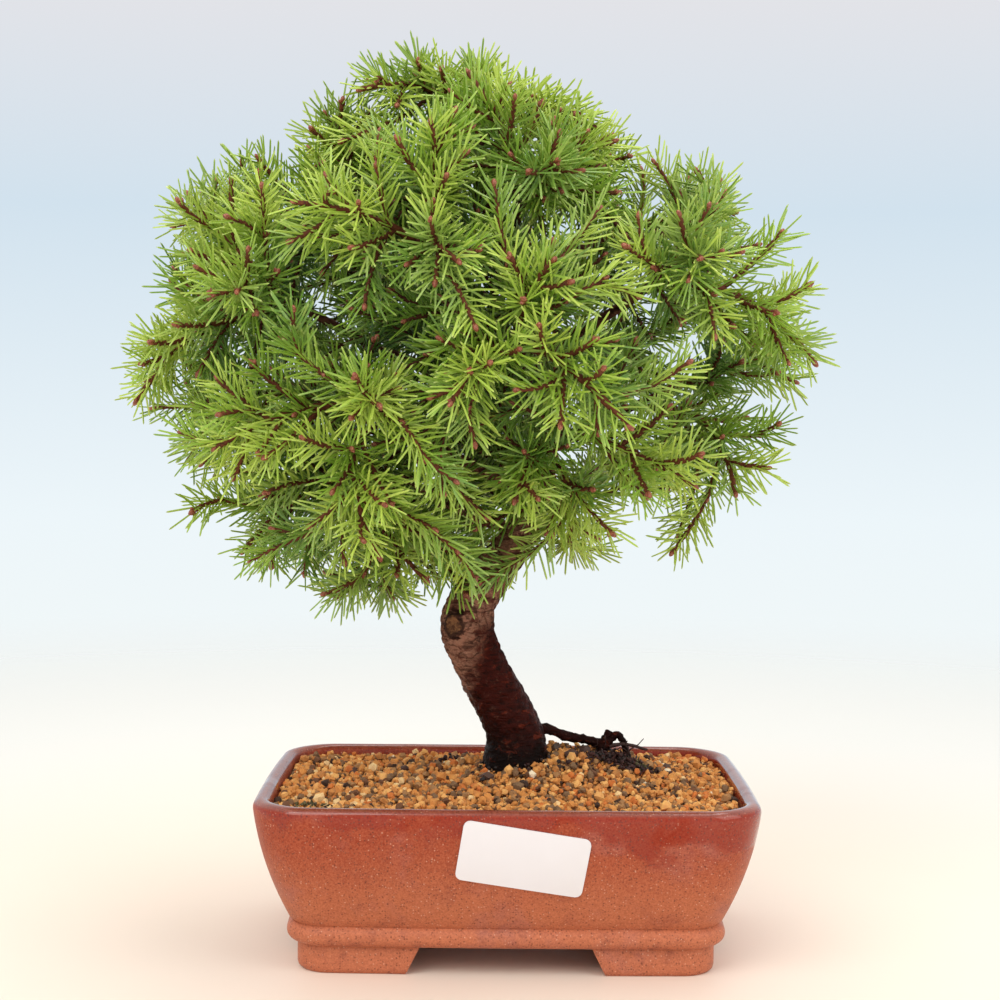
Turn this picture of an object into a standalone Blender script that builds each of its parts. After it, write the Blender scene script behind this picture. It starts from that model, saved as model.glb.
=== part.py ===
"""Spruce bonsai in a glazed rectangular pot, as solids at real size. Metres, +Z up, the front towards -Y.

The origin is on the ground, under the middle of the whole object. The leaning trunk carries the crown
to one side of the pot, so the pot stands a little to the right of the origin.
"""

import math
import random

import bmesh
import bpy
import numpy as np
from mathutils import Matrix, Vector

MM = 0.001
UP = Vector((0, 0, 1))
GOLDEN_ANGLE = math.radians(137.5)
CLEAR = 0.3 * MM  # gap kept where one piece lies against another
SLIVER = 0.002 * MM  # details smaller than this are closed up after a Boolean

# Pot: a rectangle with rounded corners and slightly bowed sides, measured at the rim
POT_CENTRE = Vector((11.7, 0.2, 0)) * MM
POT_HALF_WIDTH = 91 * MM
POT_HALF_DEPTH = 65 * MM
POT_HEIGHT = 62 * MM
CORNER_RADIUS = 20 * MM  # at the rim
CORNER_SHRINK = 0.6  # how much of an inset the corner radius loses
CORNER_LEAN = 1.4  # how much nearer to the side's end than to the corner's middle its inner point is
SIDE_BOW = 1.5 * MM  # how far the middle of each side stands proud of its ends
WALL = 6 * MM
WALL_FOOT = 17.3 * MM  # height where the wall meets the belt
WALL_LEAN = 13 * MM  # how far the wall has drawn in there
WALL_BULGE = 2 * MM  # how far the wall stands proud of a straight slope
BELT_RADIUS = 4 * MM
BELT_INSET = 15.5 * MM  # of the belt's centre line
BELT_HEIGHT = 14 * MM
UNDERSIDE = 10 * MM
POT_FLOOR = 16 * MM
LIP_EDGE = 58.5 * MM  # height where the wall turns into the rounded lip
LIP_SHOULDER = 0.9 * MM  # how far in the lip's rounding has come near its top
LIP_SHOULDER_HEIGHT = 61.1 * MM
INNER_LEVELS = (38 * MM, 22 * MM)  # heights where the inner wall bends
INNER_FOOT = 20 * MM  # height whose inset the inner wall keeps where it meets the floor
FLOOR_FILLET = 1.6  # thickness there, in walls
FOOT_INSET = 15.2 * MM
FOOT_CHAMFER = 1.5 * MM
FOOT_THICKNESS = 10 * MM
FOOT_GAP_TOP = 30.5 * MM  # half the gap between two feet along the front
FOOT_GAP_BOTTOM = 35.5 * MM
SIDE_GAP_TOP = 17 * MM  # half the gap along the sides
SIDE_GAP_BOTTOM = 22 * MM
DRAIN_RADIUS = 8 * MM
DRAIN_SPACING = 38 * MM  # of each hole from the middle
SCREEN_SIDE = 24 * MM
SCREEN_THICKNESS = 0.8 * MM

# Soil: level near the walls, heaped round the trunk
SOIL_GAP = 0.6 * MM
SOIL_LEVEL = 57.6 * MM
SOIL_HEAP = 11 * MM
HEAP_AT = Vector((20, 13)) * MM  # from the pot's centre
HEAP_SPREAD = Vector((38, 30)) * MM
GRAINS_ACROSS = 16
GRAINS_DEEP = 10
GRAIN_HEIGHT = 1.7 * MM
GRAIN_STRAY = 1 * MM  # how far aside a grain's top may lie
GRID_STRAY = 0.3  # how far a corner of the grid may stray, in cells

# Label on the front wall
LABEL_HALF = Vector((22.3, 11)) * MM
LABEL_AT = Vector((5.6, 45)) * MM  # x from the pot's centre, and height
LABEL_TILT = math.radians(-9)
LABEL_THICKNESS = 0.4 * MM
LABEL_CORNER = 16  # power that rounds the corners: the higher, the sharper

# Trunk: x, y, height and radius in mm along its centre line, from the buried stub to the leader
TRUNK = (
    (4.0, 8.0, 34.0, 9.0),
    (3.5, 8.0, 56.0, 13.2),
    (3.4, 8.0, 66.0, 12.6),
    (2.4, 7.5, 77.0, 11.0),
    (-3.5, 6.0, 90.0, 10.2),
    (-9.5, 5.0, 102.0, 9.8),
    (-14.0, 4.0, 112.0, 10.0),
    (-15.3, 3.0, 119.0, 10.6),
    (-13.0, 2.0, 128.0, 9.0),
    (-6.5, 1.0, 138.5, 8.0),
    (1.0, 0.0, 149.5, 7.3),
    (7.5, 0.0, 163.0, 6.8),
    (11.5, 1.0, 182.0, 6.2),
    (11.0, 3.0, 206.0, 5.5),
    (5.5, 4.0, 232.0, 4.8),
    (-2.5, 3.0, 258.0, 4.0),
    (-9.5, 1.0, 281.0, 3.2),
    (-13.5, 0.0, 299.0, 2.2),
)
TRUNK_STEPS = 18
SOCKET_STEPS = 5  # of the trunk's steps, those that the soil's socket follows
TRUNK_SIDES = 10
ROOT_STEPS = 6
ROOT_SIDES = 5

# Roots that show above the soil, as the trunk's points are given
ROOTS = (
    ((4, 9, 74, 3.6), (15, 11, 77.6, 2.1), (23, 13, 74.6, 1.8),
     (31, 14, 73, 1.7), (38, 13, 70, 1.8), (43, 12, 57, 1.6)),
    ((32, 10, 55, 2.6), (34.5, 11, 64, 2.3), (37, 12.5, 71.5, 1.9), (39.5, 13, 77, 1.3)),
    ((37, 12.5, 70, 1.8), (42.5, 13, 75.4, 1.4), (46.5, 12.5, 68, 1.3), (47.5, 12, 57, 1.1)),
)

# Crown: its reach from its centre in mm, seen from the front, every 15 degrees anticlockwise from +X
CROWN_CENTRE = POT_CENTRE + Vector((-12.5, 0, 229)) * MM
CROWN_OUTLINE = (135, 139, 114, 101, 95, 95, 106, 110, 107, 102, 127, 132,
                 136, 139, 129, 129, 121, 105, 103, 84, 102, 115, 126, 133)
OUTLINE_STEP = 15
CROWN_DEPTH = 100 * MM

# Side branches leave the trunk in a spiral, and each ends in a fork of sprays
BRANCHES = 15
LOWEST, HIGHEST = -0.9, 0.86  # sine of the elevation of the first branch and of the last
FIRST_AZIMUTH = math.radians(180)
FORK_AT = 0.52  # share of the crown's reach
FORK_SPRAYS = 3
FORK_SPREAD = math.radians(21)
FORK_TURN = 1.6  # how far each fork is turned from the last, in radians
BRANCH_RISE = 0.4  # height gained for each unit outwards
BRANCH_SAG = 0.1
BRANCH_FROM, BRANCH_TO = 152 * MM, 290 * MM  # heights of the trunk that carry branches
BRANCH_BASE, BRANCH_END = 2.7 * MM, 1.6 * MM
STUB_LENGTH = 11 * MM
STUB_PULL = 1.2  # weight of the spray's own direction in its stub's, against the branch's
LEADER_SPRAYS = 4
LEADER_SPREAD = math.radians(32)
LEADER_TURN = 0.4
SPRAY_STRAIGHT = 0.45  # share of a spray's length that it keeps to its stub's direction
SHOOTS = 7  # side shoots on each spray
SOLID_SHOOTS = 3  # those of them that are modelled here
SHOOTS_FROM, SHOOTS_OVER = 0.16, 0.68  # where the first is on the axis, and the stretch that has them
SHOOT_ANGLE = math.radians(48)
SHOOT_SHORTEST = 0.30  # of the axis's length, near its tip
SHOOT_GAIN = 0.30  # what is added to that towards the base
SHOOT_RISE, SHOOT_SAG = 0.12, 0.04
SHOOT_TURN_STRAY = 0.35
SHOOT_APART = 8 * MM  # from its root, where a shoot may touch its own spray
NEEDLE_APART = 4 * MM
TWIG_BASE, TWIG_TIP = 1.5 * MM, 1.3 * MM  # to the corners of a three-sided twig
SHOOT_RADIUS = 1.1 * MM
TWIG_SIDES = 3
TWIG_PAST = 8 * MM  # needles reach this far past a twig's tip
SPRAY_SEED = 300
REDRAWS = 6

# Needles
NEEDLE_LENGTH = 13.5 * MM
NEEDLE_RADIUS = 0.5 * MM
NEEDLE_TIP = 0.2 * MM
NEEDLE_LEAN = math.radians(50)  # from the twig
NEEDLE_STRAY = math.radians(5)
NEEDLES_FROM, NEEDLES_OVER = 0.14, 0.82  # where the first is on its twig, and the stretch that has them
AXIS_NEEDLES = 6
SIDE_NEEDLES = 3
PROBES = 14  # points tried along a bar for what comes near it

COLOURS = {
    "glaze": ((0.42, 0.12, 0.06), 0.35),
    "grit": ((0.55, 0.32, 0.12), 0.9),
    "bark": ((0.16, 0.08, 0.05), 0.85),
    "needles": ((0.20, 0.38, 0.06), 0.5),
    "mesh": ((0.03, 0.03, 0.03), 0.6),
    "paper": ((0.85, 0.83, 0.80), 0.6),
}


def material(name):
    """The Principled material of that name, made on first use."""
    found = bpy.data.materials.get(name)
    if found:
        return found
    made = bpy.data.materials.new(name)
    made.use_nodes = True
    shader = made.node_tree.nodes["Principled BSDF"]
    colour, roughness = COLOURS[name]
    shader.inputs["Base Color"].default_value = (*colour, 1)
    shader.inputs["Roughness"].default_value = roughness
    return made


def finished(name, mesh, finish, crease=35):
    """A shown object with its material, shaded smooth apart from edges sharper than crease degrees."""
    obj = bpy.data.objects.new(name, mesh)
    bpy.context.scene.collection.objects.link(obj)
    mesh.materials.clear()
    mesh.materials.append(material(finish))
    mesh.shade_smooth()
    mesh.set_sharp_from_angle(angle=math.radians(crease))
    return obj


def mesh_of(bm, name):
    """A mesh from bm, with its faces pointing out."""
    bmesh.ops.recalc_face_normals(bm, faces=bm.faces)
    mesh = bpy.data.meshes.new(name)
    bm.to_mesh(mesh)
    bm.free()
    return mesh


def loose(name, mesh):
    """An object for a Boolean to use up."""
    obj = bpy.data.objects.new(name, mesh)
    bpy.context.scene.collection.objects.link(obj)
    return obj


def combined(body, others, operation):
    """body's mesh with the other objects joined to it or cut from it. All of the objects are used up."""
    group = bpy.data.collections.new("operands")
    bpy.context.scene.collection.children.link(group)
    for other in others:
        bpy.context.scene.collection.objects.unlink(other)
        group.objects.link(other)
    modifier = body.modifiers.new("combine", "BOOLEAN")
    modifier.operation = operation
    modifier.operand_type = "COLLECTION"
    modifier.collection = group
    modifier.solver = "EXACT"
    graph = bpy.context.evaluated_depsgraph_get()
    mesh = bpy.data.meshes.new_from_object(body.evaluated_get(graph))
    for used in (body, *others):
        bpy.data.objects.remove(used)
    bpy.data.collections.remove(group)
    bm = bmesh.new()
    bm.from_mesh(mesh)
    bmesh.ops.remove_doubles(bm, verts=bm.verts, dist=SLIVER)
    bmesh.ops.dissolve_degenerate(bm, edges=bm.edges, dist=SLIVER)
    bmesh.ops.triangulate(bm, faces=bm.faces)
    bmesh.ops.delete(bm, geom=[vert for vert in bm.verts if not vert.link_faces], context="VERTS")
    bm.to_mesh(mesh)
    bm.free()
    return mesh


def sound(mesh):
    """True if every edge joins two faces and every face can be reached from the first across edges."""
    bm = bmesh.new()
    bm.from_mesh(mesh)
    closed = all(edge.is_manifold for edge in bm.edges)
    front = {next(iter(bm.faces))}
    reached = set(front)
    while front:
        front = {face for near in front for edge in near.edges for face in edge.link_faces} - reached
        reached |= front
    whole = len(reached) == len(bm.faces)
    bm.free()
    return closed and whole


def plan_point(u, v, inset):
    """Where a point of a square from -1 to 1 lies in the pot's outline drawn in by inset."""
    edge = max(abs(u), abs(v))
    if not edge:
        return POT_CENTRE.copy()
    half = Vector((POT_HALF_WIDTH - inset, POT_HALF_DEPTH - inset))
    radius = CORNER_RADIUS - CORNER_SHRINK * inset
    reach = Vector((abs(u) / edge * half.x, abs(v) / edge * half.y))
    core = Vector((half.x - radius, half.y - radius))
    past = reach - core
    if min(past) > 0:
        reach = core + past.normalized() * radius
    x = reach.x * (1 - SIDE_BOW / half.x * (reach.y / half.y) ** 2) * edge
    y = reach.y * (1 - SIDE_BOW / half.y * (reach.x / half.x) ** 2) * edge
    return POT_CENTRE + Vector((math.copysign(x, u), math.copysign(y, v), 0))


def pot_ring(inset, height):
    """One level line of the pot, drawn in from the rim by inset, with most of its points on the corners."""
    corner = CORNER_RADIUS - CORNER_SHRINK * inset
    wide, deep = (1 - corner / (half - inset) for half in (POT_HALF_WIDTH, POT_HALF_DEPTH))
    sides = []
    for start in (wide, deep):
        on_corner = (1 + CORNER_LEAN * start) / (1 + CORNER_LEAN)
        sides.append([-1, -on_corner, -start, -start / 3, start / 3, start, on_corner])
    wide, deep = sides
    square = [(s, -1) for s in wide] + [(1, s) for s in deep]
    square += [(-s, 1) for s in wide] + [(-1, -s) for s in deep]
    return [plan_point(u, v, inset) + UP * height for u, v in square]


def wall_inset(height):
    """How far the outer wall has drawn in from the rim at that height."""
    share = (LIP_EDGE - height) / (LIP_EDGE - WALL_FOOT)
    return WALL_LEAN * share - WALL_BULGE * 4 * share * (1 - share)


def lofted(rings):
    """A closed mesh skinned over rings of points, by extruding the first ring from each to the next."""
    bm = bmesh.new()
    verts = [bm.verts.new(point) for point in rings[0]]
    first = [bm.edges.new(pair) for pair in zip(verts, verts[1:] + verts[:1])]
    edges = first
    for before, ring in zip(rings, rings[1:]):
        made = bmesh.ops.extrude_edge_only(bm, edges=edges)["geom"]
        edges = [item for item in made if isinstance(item, bmesh.types.BMEdge)]
        for vert in [item for item in made if isinstance(item, bmesh.types.BMVert)]:
            place = min(range(len(before)), key=lambda i: (before[i] - vert.co).length_squared)
            vert.co = ring[place]
    bmesh.ops.contextual_create(bm, geom=first)
    bmesh.ops.contextual_create(bm, geom=edges)
    bmesh.ops.remove_doubles(bm, verts=bm.verts, dist=0.001 * MM)
    return mesh_of(bm, "loft")


def pot_body():
    """The pot without its feet: up the outside over belt and wall, round the lip and down the inside."""
    belt = [math.radians(a) for a in (-90, -40, 0, 45)]
    profile = [(BELT_INSET - BELT_RADIUS * math.cos(a), BELT_HEIGHT + BELT_RADIUS * math.sin(a))
               for a in belt]
    wall = np.linspace(WALL_FOOT + MM, LIP_EDGE, 4)
    profile += [(wall_inset(z), z) for z in wall]
    profile += [(LIP_SHOULDER, LIP_SHOULDER_HEIGHT), (WALL / 2, POT_HEIGHT)]
    profile += [(WALL - LIP_SHOULDER, LIP_SHOULDER_HEIGHT)]
    profile += [(wall_inset(z) + WALL, z) for z in (LIP_EDGE, *INNER_LEVELS)]
    profile += [(wall_inset(INNER_FOOT) + FLOOR_FILLET * WALL, POT_FLOOR)]
    return loose("pot_body", lofted([pot_ring(inset, height) for inset, height in profile]))


def bar(name, low, high):
    """A box between two corners."""
    bm = bmesh.new()
    bmesh.ops.create_cube(bm, size=1)
    size = Vector(high) - Vector(low)
    bmesh.ops.scale(bm, vec=size, verts=bm.verts)
    bmesh.ops.translate(bm, vec=Vector(low) + size / 2, verts=bm.verts)
    return loose(name, mesh_of(bm, name))


def gap_cutter(name, half_top, half_bottom, along_y):
    """The trapezium-shaped space between two feet, run right through under the pot."""
    reach = 100 * MM
    low, high = -2 * MM, UNDERSIDE
    slope = (half_top - half_bottom) / high
    bm = bmesh.new()
    bmesh.ops.create_cube(bm, size=2)
    for vert in bm.verts:
        height = high if vert.co.z > 0 else low
        across = vert.co.x * (half_bottom + slope * height)
        along = vert.co.y * reach
        vert.co = Vector((across, along, height) if along_y else (along, across, height)) + POT_CENTRE
    return loose(name, mesh_of(bm, name))


def pot_feet():
    """A slab under the belt, hollowed and cut away in the middle of each side to leave four corner feet."""
    above = UNDERSIDE + 2 * MM
    outer = [(FOOT_INSET + FOOT_CHAMFER, 0), (FOOT_INSET, 2 * MM), (FOOT_INSET, above)]
    slab = loose("slab", lofted([pot_ring(inset, height) for inset, height in outer]))
    inner = FOOT_INSET + FOOT_THICKNESS
    room = [(inner, -2 * MM), (inner, UNDERSIDE + 0.5 * MM)]
    cutters = [loose("room", lofted([pot_ring(inset, height) for inset, height in room])),
               gap_cutter("front_gap", FOOT_GAP_TOP, FOOT_GAP_BOTTOM, True),
               gap_cutter("side_gap", SIDE_GAP_TOP, SIDE_GAP_BOTTOM, False)]
    return loose("feet", combined(slab, cutters, "DIFFERENCE"))


def drain_centres():
    return [POT_CENTRE + Vector((side * DRAIN_SPACING, 0, 0)) for side in (-1, 1)]


def drain_cutter(centre):
    bm = bmesh.new()
    bmesh.ops.create_cone(bm, cap_ends=True, segments=12, radius1=DRAIN_RADIUS, radius2=DRAIN_RADIUS,
                          depth=20 * MM)
    bmesh.ops.translate(bm, vec=centre + UP * POT_FLOOR, verts=bm.verts)
    return loose("drain", mesh_of(bm, "drain"))


def make_pot():
    """The fired pot, with its feet and two drain holes."""
    standing = loose("pot_standing", combined(pot_body(), [pot_feet()], "UNION"))
    drained = combined(standing, [drain_cutter(centre) for centre in drain_centres()], "DIFFERENCE")
    return finished("pot", drained, "glaze")


def make_screen(name, centre):
    """A square of plastic mesh that lies over a drain hole: a plate with a grid of square holes."""
    cells, bar_width = 4, 1.8 * MM
    half = SCREEN_SIDE / 2
    low = POT_FLOOR + CLEAR
    top = low + SCREEN_THICKNESS
    plate = bar(name, centre + Vector((-half, -half, low)), centre + Vector((half, half, top)))
    pitch = (SCREEN_SIDE - bar_width) / cells
    first = bar_width - half
    holes = []
    for column in range(cells):
        for row in range(cells):
            corner = centre + Vector((first + column * pitch, first + row * pitch, POT_FLOOR))
            far = corner + Vector((pitch - bar_width, pitch - bar_width, 4 * SCREEN_THICKNESS))
            holes.append(bar("hole", corner, far))
    return finished(name, combined(plate, holes, "DIFFERENCE"), "mesh")


def soil_height(x, y):
    """Height of the soil's surface at a point given from the pot's centre."""
    across = (x - HEAP_AT.x) / HEAP_SPREAD.x
    deep = (y - HEAP_AT.y) / HEAP_SPREAD.y
    return SOIL_LEVEL + SOIL_HEAP * math.exp(-across * across - deep * deep)


def soil_block():
    """The soil as it fills the pot: a grid of grains on top, and sides that follow the inner wall."""
    draw = random.Random(21)
    bm = bmesh.new()
    bmesh.ops.create_grid(bm, x_segments=GRAINS_ACROSS, y_segments=GRAINS_DEEP, size=1)
    inset = wall_inset(SOIL_LEVEL) + WALL + SOIL_GAP
    rim = [edge for edge in bm.edges if edge.is_boundary]
    on_rim = {vert for edge in rim for vert in edge.verts}
    for vert in bm.verts:
        u, v = vert.co.x, vert.co.y
        if vert not in on_rim:
            u += draw.uniform(-GRID_STRAY, GRID_STRAY) / GRAINS_ACROSS
            v += draw.uniform(-GRID_STRAY, GRID_STRAY) / GRAINS_DEEP
        vert.co = plan_point(u, v, inset)
    tops = bmesh.ops.poke(bm, faces=bm.faces[:])["verts"]
    for vert in bm.verts:
        flat = vert.co - POT_CENTRE
        vert.co.z = soil_height(flat.x, flat.y)
    for vert in tops:
        aside = draw.uniform(-1, 1) * GRAIN_STRAY, draw.uniform(-1, 1) * GRAIN_STRAY
        vert.co += Vector((*aside, draw.uniform(0.5, 1) * GRAIN_HEIGHT))
    below = [(height, wall_inset(height) + WALL) for height in INNER_LEVELS]
    below.append((POT_FLOOR + CLEAR, wall_inset(INNER_FOOT) + FLOOR_FILLET * WALL))
    for height, level in below:
        made = bmesh.ops.extrude_edge_only(bm, edges=rim)["geom"]
        rim = [edge for edge in made if isinstance(edge, bmesh.types.BMEdge)]
        wide = (POT_HALF_WIDTH - level - SOIL_GAP) / (POT_HALF_WIDTH - inset)
        deep = (POT_HALF_DEPTH - level - SOIL_GAP) / (POT_HALF_DEPTH - inset)
        inset = level + SOIL_GAP
        for vert in {vert for edge in rim for vert in edge.verts}:
            flat = vert.co - POT_CENTRE
            vert.co = Vector((flat.x * wide, flat.y * deep, height)) + POT_CENTRE
    bmesh.ops.contextual_create(bm, geom=rim)
    return loose("soil_block", mesh_of(bm, "soil"))


def make_soil():
    """The soil with a socket for the trunk, one for each root, and room for the two screens."""
    half = SCREEN_SIDE / 2 + CLEAR
    cutters = [bar("room", centre + Vector((-half, -half, 0)),
                   centre + Vector((half, half, POT_FLOOR + SCREEN_THICKNESS + 2 * CLEAR)))
               for centre in drain_centres()]
    cutters.append(tube("trunk_socket", smooth_path(TRUNK, TRUNK_STEPS)[:SOCKET_STEPS], TRUNK_SIDES, CLEAR))
    cutters += [tube("root_socket", smooth_path(root, ROOT_STEPS), ROOT_SIDES, CLEAR) for root in ROOTS]
    return finished("soil", combined(soil_block(), cutters, "DIFFERENCE"), "grit")


def smooth_path(knots, steps):
    """Points and radii in metres on a smooth curve through knots of x, y, height and radius in mm."""
    rows = np.array(knots, float)
    rows = np.vstack([2 * rows[0] - rows[1], rows, 2 * rows[-1] - rows[-2]])
    path = []
    for share in np.linspace(0, len(knots) - 1, steps):
        i = min(int(share), len(knots) - 2)
        t = share - i
        before, a, b, after = rows[i:i + 4]
        bent = (2 * a + (b - before) * t + (2 * before - 5 * a + 4 * b - after) * t**2
                + (3 * a - before - 3 * b + after) * t**3) / 2
        path.append((POT_CENTRE + Vector(bent[:3]) * MM, bent[3] * MM))
    return path


def frames(path, heading=None):
    """Each point of path with the direction there and a direction across it that twists as little as it can.

    The path sets out in the direction heading, if that is given.
    """
    points = [point for point, _ in path]
    across = (points[1] - points[0]).orthogonal().normalized()
    found = []
    for i, point in enumerate(points):
        along = (points[min(i + 1, len(points) - 1)] - points[max(i - 1, 0)]).normalized()
        if heading and i == 0:
            along = heading
        across = (across - along * across.dot(along)).normalized()
        found.append((point, along, across))
    return found


def tube(name, path, sides, swell=0.0, heading=None):
    """A closed bar along path, which holds points and radii. swell is added all round."""
    rings = []
    last = len(path) - 1
    for i, ((point, along, across), (_, radius)) in enumerate(zip(frames(path, heading), path)):
        centre = point + along * swell * ((i == last) - (i == 0))
        spokes = [Matrix.Rotation(2 * math.pi * (k + 0.5) / sides, 3, along) @ across for k in range(sides)]
        rings.append([centre + spoke * (radius + swell) for spoke in spokes])
    return loose(name, lofted(rings))


def pointed(path):
    """path with the sharp end that a twig carries past its last point."""
    end, along, _ = frames(path)[-1]
    return [*path, (end + along * NEEDLE_LENGTH, 0)]


def bow(start, control, end, base, tip, steps):
    """Points and radii on the curve from start to end that sets out towards control."""
    path = []
    for i in range(steps + 1):
        t = i / steps
        point = start * (1 - t) ** 2 + control * 2 * t * (1 - t) + end * t**2
        path.append((point, base + (tip - base) * t))
    return path


def crown_reach(direction):
    """How far the crown reaches from its centre along a unit direction."""
    turn = math.degrees(math.atan2(direction.z, direction.x)) / OUTLINE_STEP
    before = math.floor(turn)
    here, after = (CROWN_OUTLINE[(before + i) % len(CROWN_OUTLINE)] * MM for i in (0, 1))
    front = here + (after - here) * (turn - before)
    in_plane = math.hypot(direction.x, direction.z)
    return 1 / math.hypot(in_plane / front, direction.y / CROWN_DEPTH)


def trunk_at(height):
    """The trunk's centre at a height."""
    rows = np.array(TRUNK) * MM
    return POT_CENTRE + Vector((np.interp(height, rows[:, 2], rows[:, 0]),
                                np.interp(height, rows[:, 2], rows[:, 1]), height))


def fork_directions(direction, count, spread, turn):
    """Directions round one, tilted from it by spread."""
    side = direction.orthogonal().normalized()
    tilted = Matrix.Rotation(spread, 3, side) @ direction
    return [Matrix.Rotation(turn + 2 * math.pi * i / count, 3, direction) @ tilted for i in range(count)]


def side_shoots(axis, draw):
    """The side shoots of a spray along its axis, in turn all round it and shorter towards its tip."""
    points = [point for point, _ in axis]
    length = (points[-1] - points[0]).length
    turn = draw.uniform(0, 2 * math.pi)
    found = []
    for i in range(SHOOTS):
        share = SHOOTS_FROM + SHOOTS_OVER * (i + 0.5 * draw.random()) / SHOOTS
        at = share * (len(points) - 1)
        low = min(int(at), len(points) - 2)
        root = points[low].lerp(points[low + 1], at - low)
        along = (points[low + 1] - points[low]).normalized()
        turn += GOLDEN_ANGLE + draw.uniform(-SHOOT_TURN_STRAY, SHOOT_TURN_STRAY)
        side = Matrix.Rotation(turn, 3, along) @ along.orthogonal().normalized()
        heading = along * math.cos(SHOOT_ANGLE) + side * math.sin(SHOOT_ANGLE)
        reach = length * (SHOOT_SHORTEST + SHOOT_GAIN * (1 - share)) * draw.uniform(0.8, 1.15)
        tip = root + (heading + UP * SHOOT_RISE).normalized() * reach
        outwards = tip - CROWN_CENTRE
        limit = crown_reach(outwards.normalized()) - TWIG_PAST
        if outwards.length > limit:
            tip = CROWN_CENTRE + outwards.normalized() * limit
        control = root + heading * reach * 0.5 - UP * reach * SHOOT_SAG
        found.append(bow(root, control, tip, SHOOT_RADIUS, SHOOT_RADIUS, 1))
    return found


def spray_plan(index, stem, direction):
    """A spray's stub, which is the branch's wood, and its axis and side shoots. stem is the branch's end."""
    draw = random.Random(SPRAY_SEED + index)
    start, heading = stem
    reach = crown_reach(direction) - TWIG_PAST
    tip = CROWN_CENTRE + direction * reach * draw.uniform(0.97, 1.01)
    inside = start - heading * BRANCH_END
    leaving = ((tip - start).normalized() * STUB_PULL + heading).normalized()
    stub = start + leaving * STUB_LENGTH
    leaving = (stub - inside).normalized()
    base = stub + leaving * CLEAR
    control = base + leaving * (tip - base).length * SPRAY_STRAIGHT
    axis = bow(base, control, tip, TWIG_BASE, TWIG_TIP, 3)
    shoots = side_shoots(axis, draw)
    wood = [(inside, SHOOT_RADIUS), (stub, TWIG_BASE)]
    return {"stub": wood, "axis": axis, "heading": leaving, "shoots": shoots[::2] + shoots[1::2]}


def branch_plan():
    """Every side branch's path, and the plan of every spray."""
    paths, sprays = [], []
    for i in range(BRANCHES):
        rise = LOWEST + (HIGHEST - LOWEST) * i / (BRANCHES - 1)
        azimuth = FIRST_AZIMUTH + i * GOLDEN_ANGLE
        level = math.sqrt(1 - rise * rise)
        direction = Vector((level * math.cos(azimuth), level * math.sin(azimuth), rise))
        fork = CROWN_CENTRE + direction * crown_reach(direction) * FORK_AT
        outwards = (fork - trunk_at(fork.z)).length
        root = trunk_at(min(max(fork.z - BRANCH_RISE * outwards, BRANCH_FROM), BRANCH_TO))
        control = root.lerp(fork, 0.5) - UP * BRANCH_SAG * outwards
        paths.append(bow(root, control, fork, BRANCH_BASE, BRANCH_END, 3))
        stem = (fork, (fork - control).normalized())
        for towards in fork_directions(direction, FORK_SPRAYS, FORK_SPREAD, i * FORK_TURN):
            sprays.append(spray_plan(len(sprays), stem, towards))
    top = POT_CENTRE + Vector(TRUNK[-1][:3]) * MM
    tops = [UP] + fork_directions(UP, LEADER_SPRAYS - 1, LEADER_SPREAD, LEADER_TURN)
    for towards in tops:
        sprays.append(spray_plan(len(sprays), (top, UP), towards))
    return paths, sprays


def make_tree(paths, sprays):
    """The wood: trunk, surface roots, side branches and the stubs that carry the sprays, grown together."""
    trunk = tube("trunk", smooth_path(TRUNK, TRUNK_STEPS), TRUNK_SIDES)
    limbs = [tube("root", smooth_path(root, ROOT_STEPS), ROOT_SIDES) for root in ROOTS]
    limbs += [tube("branch", path, 5) for path in paths]
    limbs += [tube("stub", spray["stub"], TWIG_SIDES) for spray in sprays]
    return finished("tree", combined(trunk, limbs, "UNION"), "bark", crease=60)


class Space:
    """The round bars already placed, each with its node's name, so that no needle runs into another node."""

    def __init__(self):
        self.owners, self.bars = [], []

    def add(self, owner, path):
        for (a, wide), (b, narrow) in zip(path, path[1:]):
            self.owners.append(owner)
            self.bars.append((*a, *b, max(wide, narrow)))

    def free(self, owner, path, apart=None):
        """True if path stays clear of every other node.

        Past the distance apart from its root, it stays clear of its own node too.
        """
        own = np.array([name == owner for name in self.owners])
        bars = np.array(self.bars)
        a, along, radius = bars[:, :3], bars[:, 3:6] - bars[:, :3], bars[:, 6]
        for (start, wide), (end, narrow) in zip(path, path[1:]):
            for share in np.linspace(0, 1, PROBES):
                point = np.array(start.lerp(end, share))
                near = np.clip(((point - a) * along).sum(1) / (along * along).sum(1), 0, 1)
                gap = np.linalg.norm(point - a - near[:, None] * along, axis=1) - radius - max(wide, narrow)
                ignored = own & (apart is None or share * (end - start).length < apart)
                if (gap[~ignored] < 2 * CLEAR).any():
                    return False
        return True


def needle_places(twig, count, draw):
    """Where the needles of one twig grow from, with the twig's direction there and each needle's own.

    A needle leaves by the middle of one of the twig's flat faces, and the next by another face.
    """
    stations = frames(twig)
    found = []
    turn = draw.randrange(TWIG_SIDES)
    for i in range(count):
        share = NEEDLES_FROM + NEEDLES_OVER * (i + 0.5 * draw.random()) / count
        at = share * (len(stations) - 1)
        low = min(int(at), len(stations) - 2)
        root = stations[low][0].lerp(stations[low + 1][0], at - low)
        turn += 1
        found.append((root, stations[low][1], stations[low][2], turn))
    return found


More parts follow.
